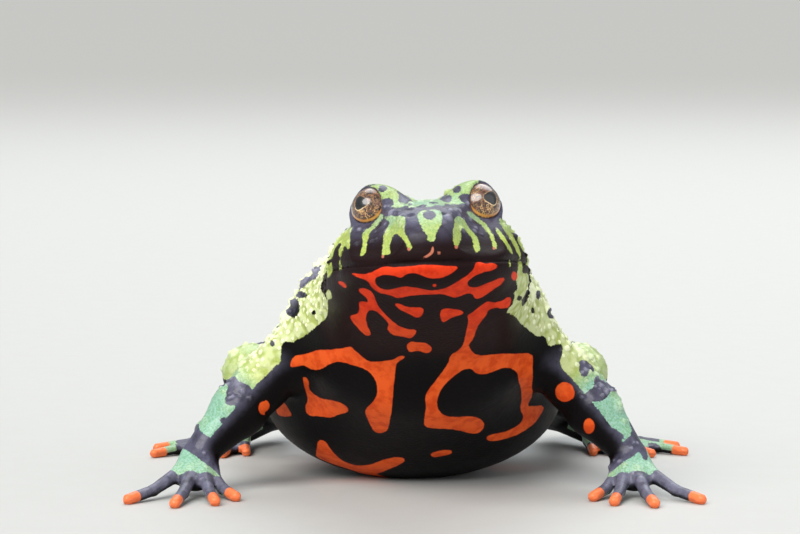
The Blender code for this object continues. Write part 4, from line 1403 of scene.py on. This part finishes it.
def leg_bars(leg, side):
    """Dark bars across the leg's upper side, as rows of blotches."""
    bars = []
    joints = [leg["hip"], leg["knee"], leg["ankle"], leg["sole"]]
    for start, end, (height, shares) in zip(joints[:-1], joints[1:], LEG_BAR_SHARES):
        along = unit(np.array([end]) - np.array([start]))
        across = unit(np.cross(along, [[0, 0, 1.0]]))[0]
        above = np.cross(across, along[0])
        for share, radius in shares:
            for turned in LEG_BAR_TURNS:
                way = across * sin(radians(turned)) + above * cos(radians(turned))
                bars.append((between(start, end, share) + way * height, None, radius))
    for row in toes(leg, side):
        bars.append((between(row[0], row[2], TOE_BAR_SHARE), None, TOE_BAR_RADIUS))
    return bars


def add_node(tree, kind, inputs=None, **settings):
    node = tree.nodes.new(kind)
    for key, value in settings.items():
        setattr(node, key, value)
    for key, value in (inputs or {}).items():
        if isinstance(value, bpy.types.NodeSocket):
            tree.links.new(value, node.inputs[key])
        else:
            node.inputs[key].default_value = value
    return node


def calculate(tree, operation, first, second=0.0, third=0.0):
    inputs = {0: first, 1: second, 2: third}
    return add_node(tree, "ShaderNodeMath", inputs, operation=operation).outputs[0]


def product(tree, first, second):
    return calculate(tree, "MULTIPLY", first, second)


def times_plus(tree, value, factor, start):
    """The value times a factor, counted from a start."""
    return calculate(tree, "MULTIPLY_ADD", value, factor, start)


def attribute(tree, name):
    return add_node(tree, "ShaderNodeAttribute", attribute_name=name).outputs["Fac"]


def noise(tree, coords, scale, detail=2.0, roughness=0.5):
    inputs = {"Vector": coords, "Scale": scale, "Detail": detail, "Roughness": roughness}
    return add_node(tree, "ShaderNodeTexNoise", inputs).outputs["Fac"]


def cell_distance(tree, coords, scale):
    """Distance to the nearest of scattered places, for round beads and grains."""
    inputs = {"Vector": coords, "Scale": scale}
    node = add_node(tree, "ShaderNodeTexVoronoi", inputs, feature="SMOOTH_F1")
    return node.outputs["Distance"]


def add_bump(tree, shader, height, strength, distance):
    inputs = {"Height": height, "Strength": strength, "Distance": distance}
    bump = add_node(tree, "ShaderNodeBump", inputs)
    tree.links.new(bump.outputs["Normal"], shader.inputs["Normal"])


def edge(tree, value, low, high):
    """0 below low, 1 above high and soft between."""
    inputs = {"Value": value, "From Min": low, "From Max": high}
    return add_node(tree, "ShaderNodeMapRange", inputs, interpolation_type="SMOOTHSTEP").outputs[0]


def line(tree, value, middle, core, reach):
    """1 where the value is near the middle, 0 past its reach."""
    gap = calculate(tree, "ABSOLUTE", calculate(tree, "SUBTRACT", value, middle))
    return edge(tree, gap, reach, core)


def mix_colours(tree, share, first, second, blend_type="MIX"):
    inputs = {0: share, 6: first, 7: second}
    node = add_node(tree, "ShaderNodeMix", inputs, data_type="RGBA", blend_type=blend_type)
    return node.outputs[2]


def new_material(name):
    made = bpy.data.materials.new(name)
    made.use_nodes = True
    tree = made.node_tree
    return made, tree, tree.nodes["Principled BSDF"]


def skin_material():
    made, tree, shader = new_material("toad_skin")
    coords = add_node(tree, "ShaderNodeTexCoord").outputs["Object"]
    wobble = times_plus(tree, noise(tree, coords, 1500.0, 3.0), 0.36, -0.18)
    fine = noise(tree, coords, 5200.0, 3.0, 0.6)
    cloud = noise(tree, coords, 900.0, 3.0, 0.6)
    ragged = times_plus(tree, fine, 0.24, -0.12)
    bead = edge(tree, cell_distance(tree, coords, 1500.0), 0.66, 0.36)

    green_at = times_plus(tree, wobble, 0.7, attribute(tree, "green"))
    green_at = calculate(tree, "ADD", green_at, ragged)
    green_share = edge(tree, green_at, -0.03, 0.05)
    orange_at = times_plus(tree, wobble, 0.35, attribute(tree, "orange"))
    orange_share = edge(tree, orange_at, -0.09, 0.0)
    tip_at = times_plus(tree, wobble, 0.8, attribute(tree, "tip"))
    tip_share = edge(tree, tip_at, -0.08, 0.08)

    wart_highlight = attribute(tree, "wart_highlight")
    slate_and_sheen = attribute(tree, "slate_and_sheen")
    pale = attribute(tree, "pale")
    # painted sheen: slate over the dark skin where it faces up, patchy with the cloud noise
    slate_sheen_share = product(tree, slate_and_sheen, edge(tree, cloud, 0.1, 0.65))
    dark = mix_colours(tree, attribute(tree, "face"), BLACK, MAROON)
    dark = mix_colours(tree, slate_sheen_share, dark, SLATE_SHEEN)
    # painted highlight on the tops of the slate warts
    tops_with_highlight = product(tree, edge(tree, wart_highlight, 0.0, 0.7), slate_sheen_share)
    dark = mix_colours(tree, tops_with_highlight, dark, SLATE_WART_HIGHLIGHT)
    drift = times_plus(tree, noise(tree, coords, 420.0, 2.0), 1.2, -0.6)
    green = mix_colours(tree, calculate(tree, "ADD", attribute(tree, "hue"), drift), LIME, AQUA)
    # painted highlight: paler wart tops in the green
    green = mix_colours(tree, product(tree, wart_highlight, 0.4), green, PALE)
    green = mix_colours(tree, edge(tree, fine, 0.62, 0.36), green, GREEN_SHADE, "MULTIPLY")
    # the beads' own pale tops over olive, with painted highlight on the tops of the warts
    tops_with_highlight = edge(tree, wart_highlight, 0.0, 0.4)
    tops_with_highlight = calculate(tree, "MAXIMUM", product(tree, bead, 0.45), tops_with_highlight)
    beads = mix_colours(tree, tops_with_highlight, OLIVE, PALE)
    green = mix_colours(tree, pale, green, beads)
    orange = mix_colours(tree, attribute(tree, "warm"), THROAT_RED, BELLY_ORANGE)
    orange = mix_colours(tree, edge(tree, cloud, 0.6, 0.35), orange, ORANGE_SHADE, "MULTIPLY")

    colour = mix_colours(tree, green_share, dark, green)
    colour = mix_colours(tree, orange_share, colour, orange)
    colour = mix_colours(tree, tip_share, colour, TIP_ORANGE)
    colour = mix_colours(tree, edge(tree, attribute(tree, "rose"), -0.05, 0.04), colour, ROSE)
    tree.links.new(colour, shader.inputs["Base Color"])
    rough = times_plus(tree, cloud, 0.2, 0.36)
    tree.links.new(rough, shader.inputs["Roughness"])
    shader.inputs["Specular IOR Level"].default_value = 0.08
    moist = product(tree, slate_and_sheen, 0.4)
    tree.links.new(moist, shader.inputs["Coat Weight"])
    shader.inputs["Coat Roughness"].default_value = 0.2
    shader.inputs["Subsurface Weight"].default_value = 0.08
    shader.inputs["Subsurface Radius"].default_value = (1.0, 0.45, 0.25)
    shader.inputs["Subsurface Scale"].default_value = 0.0004

    grain = times_plus(tree, cell_distance(tree, coords, 4200.0), -0.8, fine)
    grain = product(tree, grain, times_plus(tree, slate_and_sheen, 0.7, 0.3))
    raised = product(tree, bead, product(tree, pale, green_share))
    grain = times_plus(tree, raised, 1.6, grain)
    lumps = product(tree, noise(tree, coords, 850.0, 2.0), product(tree, slate_and_sheen, 4.0))
    add_bump(tree, shader, calculate(tree, "ADD", lumps, grain), 0.7, 0.00009)
    return made


def make_eye(name):
    """An eyeball with a raised cornea over its pupil, turned the way that it looks."""
    side = side_of(name)
    axis = HEAD_TURN @ eye_axis(side, IRIS_OUT, IRIS_UP)
    pole = np.array(Vector(axis).to_track_quat("Z", "Y").to_matrix())
    deselect_all()
    eye = add_ball(eye_centre(side), (EYE_RADIUS,) * 3, pole, 96, 64)
    bpy.ops.object.transform_apply(location=True, rotation=True, scale=True)
    eye.name = eye.data.name = "toad_eye_" + name
    points = read_points(eye)
    offset = points - eye_centre(side)
    way = unit(offset)
    angle = np.arccos(np.clip(way @ axis, -1, 1))
    middle_way = HEAD_TURN @ eye_axis(side, IRIS_OUT + IRIS_SHIFT[0], IRIS_UP + IRIS_SHIFT[1])
    iris_angle = np.arccos(np.clip(way @ middle_way, -1, 1))
    across = unit(np.cross([[0, 0, 1.0]], axis[None, :]))[0]
    above = np.cross(axis, across)
    u, v = way @ across * EYE_RADIUS, way @ above * EYE_RADIUS
    lift = CORNEA_RISE * ramp(radians(CORNEA_ANGLE) - angle, 0.0, radians(CORNEA_ANGLE))
    write_points(eye, points + way * lift[:, None])
    keep_attribute(eye, "pupil", pupil_depth(u, v, side))
    keep_attribute(eye, "outward", iris_angle / radians(90))
    keep_attribute(eye, "low", ramp(-v, -0.2, 1.2))
    bpy.ops.object.shade_smooth()
    eye.data.materials.append(eye_material(name))
    return eye


def pupil_depth(u, v, side):
    """Depth inside the pupil, whose outline swells and sinks three times round."""
    aim = radians(side * PUPIL_TURN - 90.0)
    swell = 1.0 + PUPIL_POINT * np.cos(3.0 * (np.arctan2(v, u) - aim))
    return PUPIL_RADIUS * swell - np.hypot(u / PUPIL_WIDE, v)


def eye_material(name):
    made, tree, shader = new_material("toad_eye_" + name)
    coords = add_node(tree, "ShaderNodeTexCoord").outputs["Object"]
    veins = noise(tree, coords, 3800.0, 3.0, 0.65)
    threads = line(tree, noise(tree, coords, 2600.0, 3.0, 0.6), 0.5, 0.012, 0.045)
    low = attribute(tree, "low")
    iris = mix_colours(tree, edge(tree, veins, 0.40, 0.62), IRIS_DARK, IRIS_BRONZE)
    golden = times_plus(tree, low, 0.5, 0.45)
    patches = edge(tree, noise(tree, coords, 1400.0, 2.0), 0.35, 0.6)
    golden = product(tree, golden, patches)
    iris = mix_colours(tree, product(tree, threads, golden), iris, IRIS_GOLD)
    outward = attribute(tree, "outward")
    rim = line(tree, outward, IRIS_RIM, 0.02, 0.06)
    iris = mix_colours(tree, product(tree, rim, 0.85), iris, RIM_GOLD)
    past_rim = edge(tree, outward, IRIS_RIM + 0.05, IRIS_RIM + 0.09)
    iris = mix_colours(tree, past_rim, iris, IRIS_DARK)
    pupil = attribute(tree, "pupil")
    ring = line(tree, pupil, -0.045, 0.015, 0.045)
    bright = times_plus(tree, low, 1.3, 0.15)
    iris = mix_colours(tree, product(tree, ring, bright), iris, RING_GOLD)
    colour = mix_colours(tree, edge(tree, pupil, -0.01, 0.02), iris, PUPIL_BLACK)
    tree.links.new(colour, shader.inputs["Base Color"])
    shader.inputs["Roughness"].default_value = 0.35
    shader.inputs["Coat Weight"].default_value = 1.0
    shader.inputs["Coat Roughness"].default_value = 0.02
    add_bump(tree, shader, veins, 0.3, 0.00003)
    return made


def toad_middle():
    """The middle of the solids in the toad's own frame, from where an eye's solid sits."""
    low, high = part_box("eye_left")
    eye = eye_centre(1.0)
    return np.array([eye[i] - (low[i] + high[i]) / 2 / MM for i in range(2)])


def to_row(point):
    """A point of the toad's own frame in the row's frame, in metres."""
    return Vector(((point[0] - middle[0]) * MM, (point[1] - middle[1]) * MM, point[2] * MM))


def place_in_row(piece):
    points = read_points(piece)
    points[:, :2] -= middle
    write_points(piece, points * MM)
    select_only(piece)


def keep_in_box(piece):
    """Holds the points inside the solids' box, above the floor."""
    lowest = np.array(cad_low) + INSIDE_BOX * MM * np.array([1, 1, 0])
    write_points(piece, np.clip(read_points(piece), lowest, np.array(cad_high)))


def floor_material():
    made, tree, shader = new_material("pale_floor")
    coords = add_node(tree, "ShaderNodeTexCoord").outputs["Object"]
    shade = noise(tree, coords, 300.0, 4.0, 0.6)
    colour = mix_colours(tree, shade, FLOOR_PALE, FLOOR_PALER)
    tree.links.new(colour, shader.inputs["Base Color"])
    shader.inputs["Roughness"].default_value = 0.6
    return made


def make_floor():
    deselect_all()
    bpy.ops.mesh.primitive_circle_add(vertices=96, radius=8.0, fill_type="NGON")
    floor = bpy.context.object
    floor.name = floor.data.name = "floor"
    floor.data.materials.append(floor_material())


def add_light(name, kind, place, aim, power, colour):
    data = bpy.data.lights.new(name, kind)
    data.energy = power
    data.color = colour
    lamp = bpy.data.objects.new(name, data)
    bpy.context.scene.collection.objects.link(lamp)
    lamp.location = place
    lamp.rotation_euler = (Vector(aim) - Vector(place)).to_track_quat("-Z", "Y").to_euler()
    return data


def make_lights():
    """Soft lights, and one broad key light that falls evenly on toad and floor."""
    for name, (place, aim, size, power, colour) in LIGHTS.items():
        soft = add_light(name, "AREA", place, aim, power, colour)
        soft.shape = "DISK"
        soft.size = size
    key = add_light("key", "SUN", KEY_FROM, (0, 0, 0), KEY_STRENGTH, KEY_COLOUR)
    key.angle = radians(KEY_WIDE)


def make_camera():
    down = radians(LOOK_DOWN)
    ahead = Vector((0.0, cos(down), -sin(down)))
    data = bpy.data.cameras.new("camera")
    data.sensor_width = SENSOR
    data.lens = SENSOR * LOOK_FROM / (PHOTO_WIDE * PIXEL)
    data.clip_start = 0.01
    data.clip_end = 50.0
    camera = bpy.data.objects.new("camera", data)
    bpy.context.scene.collection.objects.link(camera)
    camera.location = to_row(LOOK_AT) - ahead * LOOK_FROM * MM
    camera.rotation_euler = ahead.to_track_quat("-Z", "Y").to_euler()
    bpy.context.scene.camera = camera


def make_world():
    world = bpy.data.worlds.new("studio")
    world.use_nodes = True
    world.node_tree.nodes["Background"].inputs["Color"].default_value = (*SKY, 1.0)
    world.node_tree.nodes["Background"].inputs["Strength"].default_value = SKY_STRENGTH
    bpy.context.scene.world = world


FLESH_NODES = ["head", "torso"]
for part_name in ("upper_arm", "forearm", "hand", "thigh", "shank", "foot"):
    for side_name in ("left", "right"):
        FLESH_NODES.append(part_name + "_" + side_name)

middle = toad_middle()
skin, warts = make_skin()
thin_mesh(skin, skin_marks(skin, warts))
for mark_name, values in skin_marks(skin, warts).items():
    keep_attribute(skin, mark_name, values)
place_in_row(skin)
keep_in_box(skin)
bpy.ops.object.shade_smooth()
skin.data.materials.clear()
skin.data.materials.append(skin_material())
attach(skin, "root")
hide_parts(*FLESH_NODES)

for side_name in ("left", "right"):
    eye = make_eye(side_name)
    place_in_row(eye)
    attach(eye, "root")
    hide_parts("eye_" + side_name)

make_floor()
make_world()
make_lights()
make_camera()
bpy.context.scene.view_settings.view_transform = "Standard"
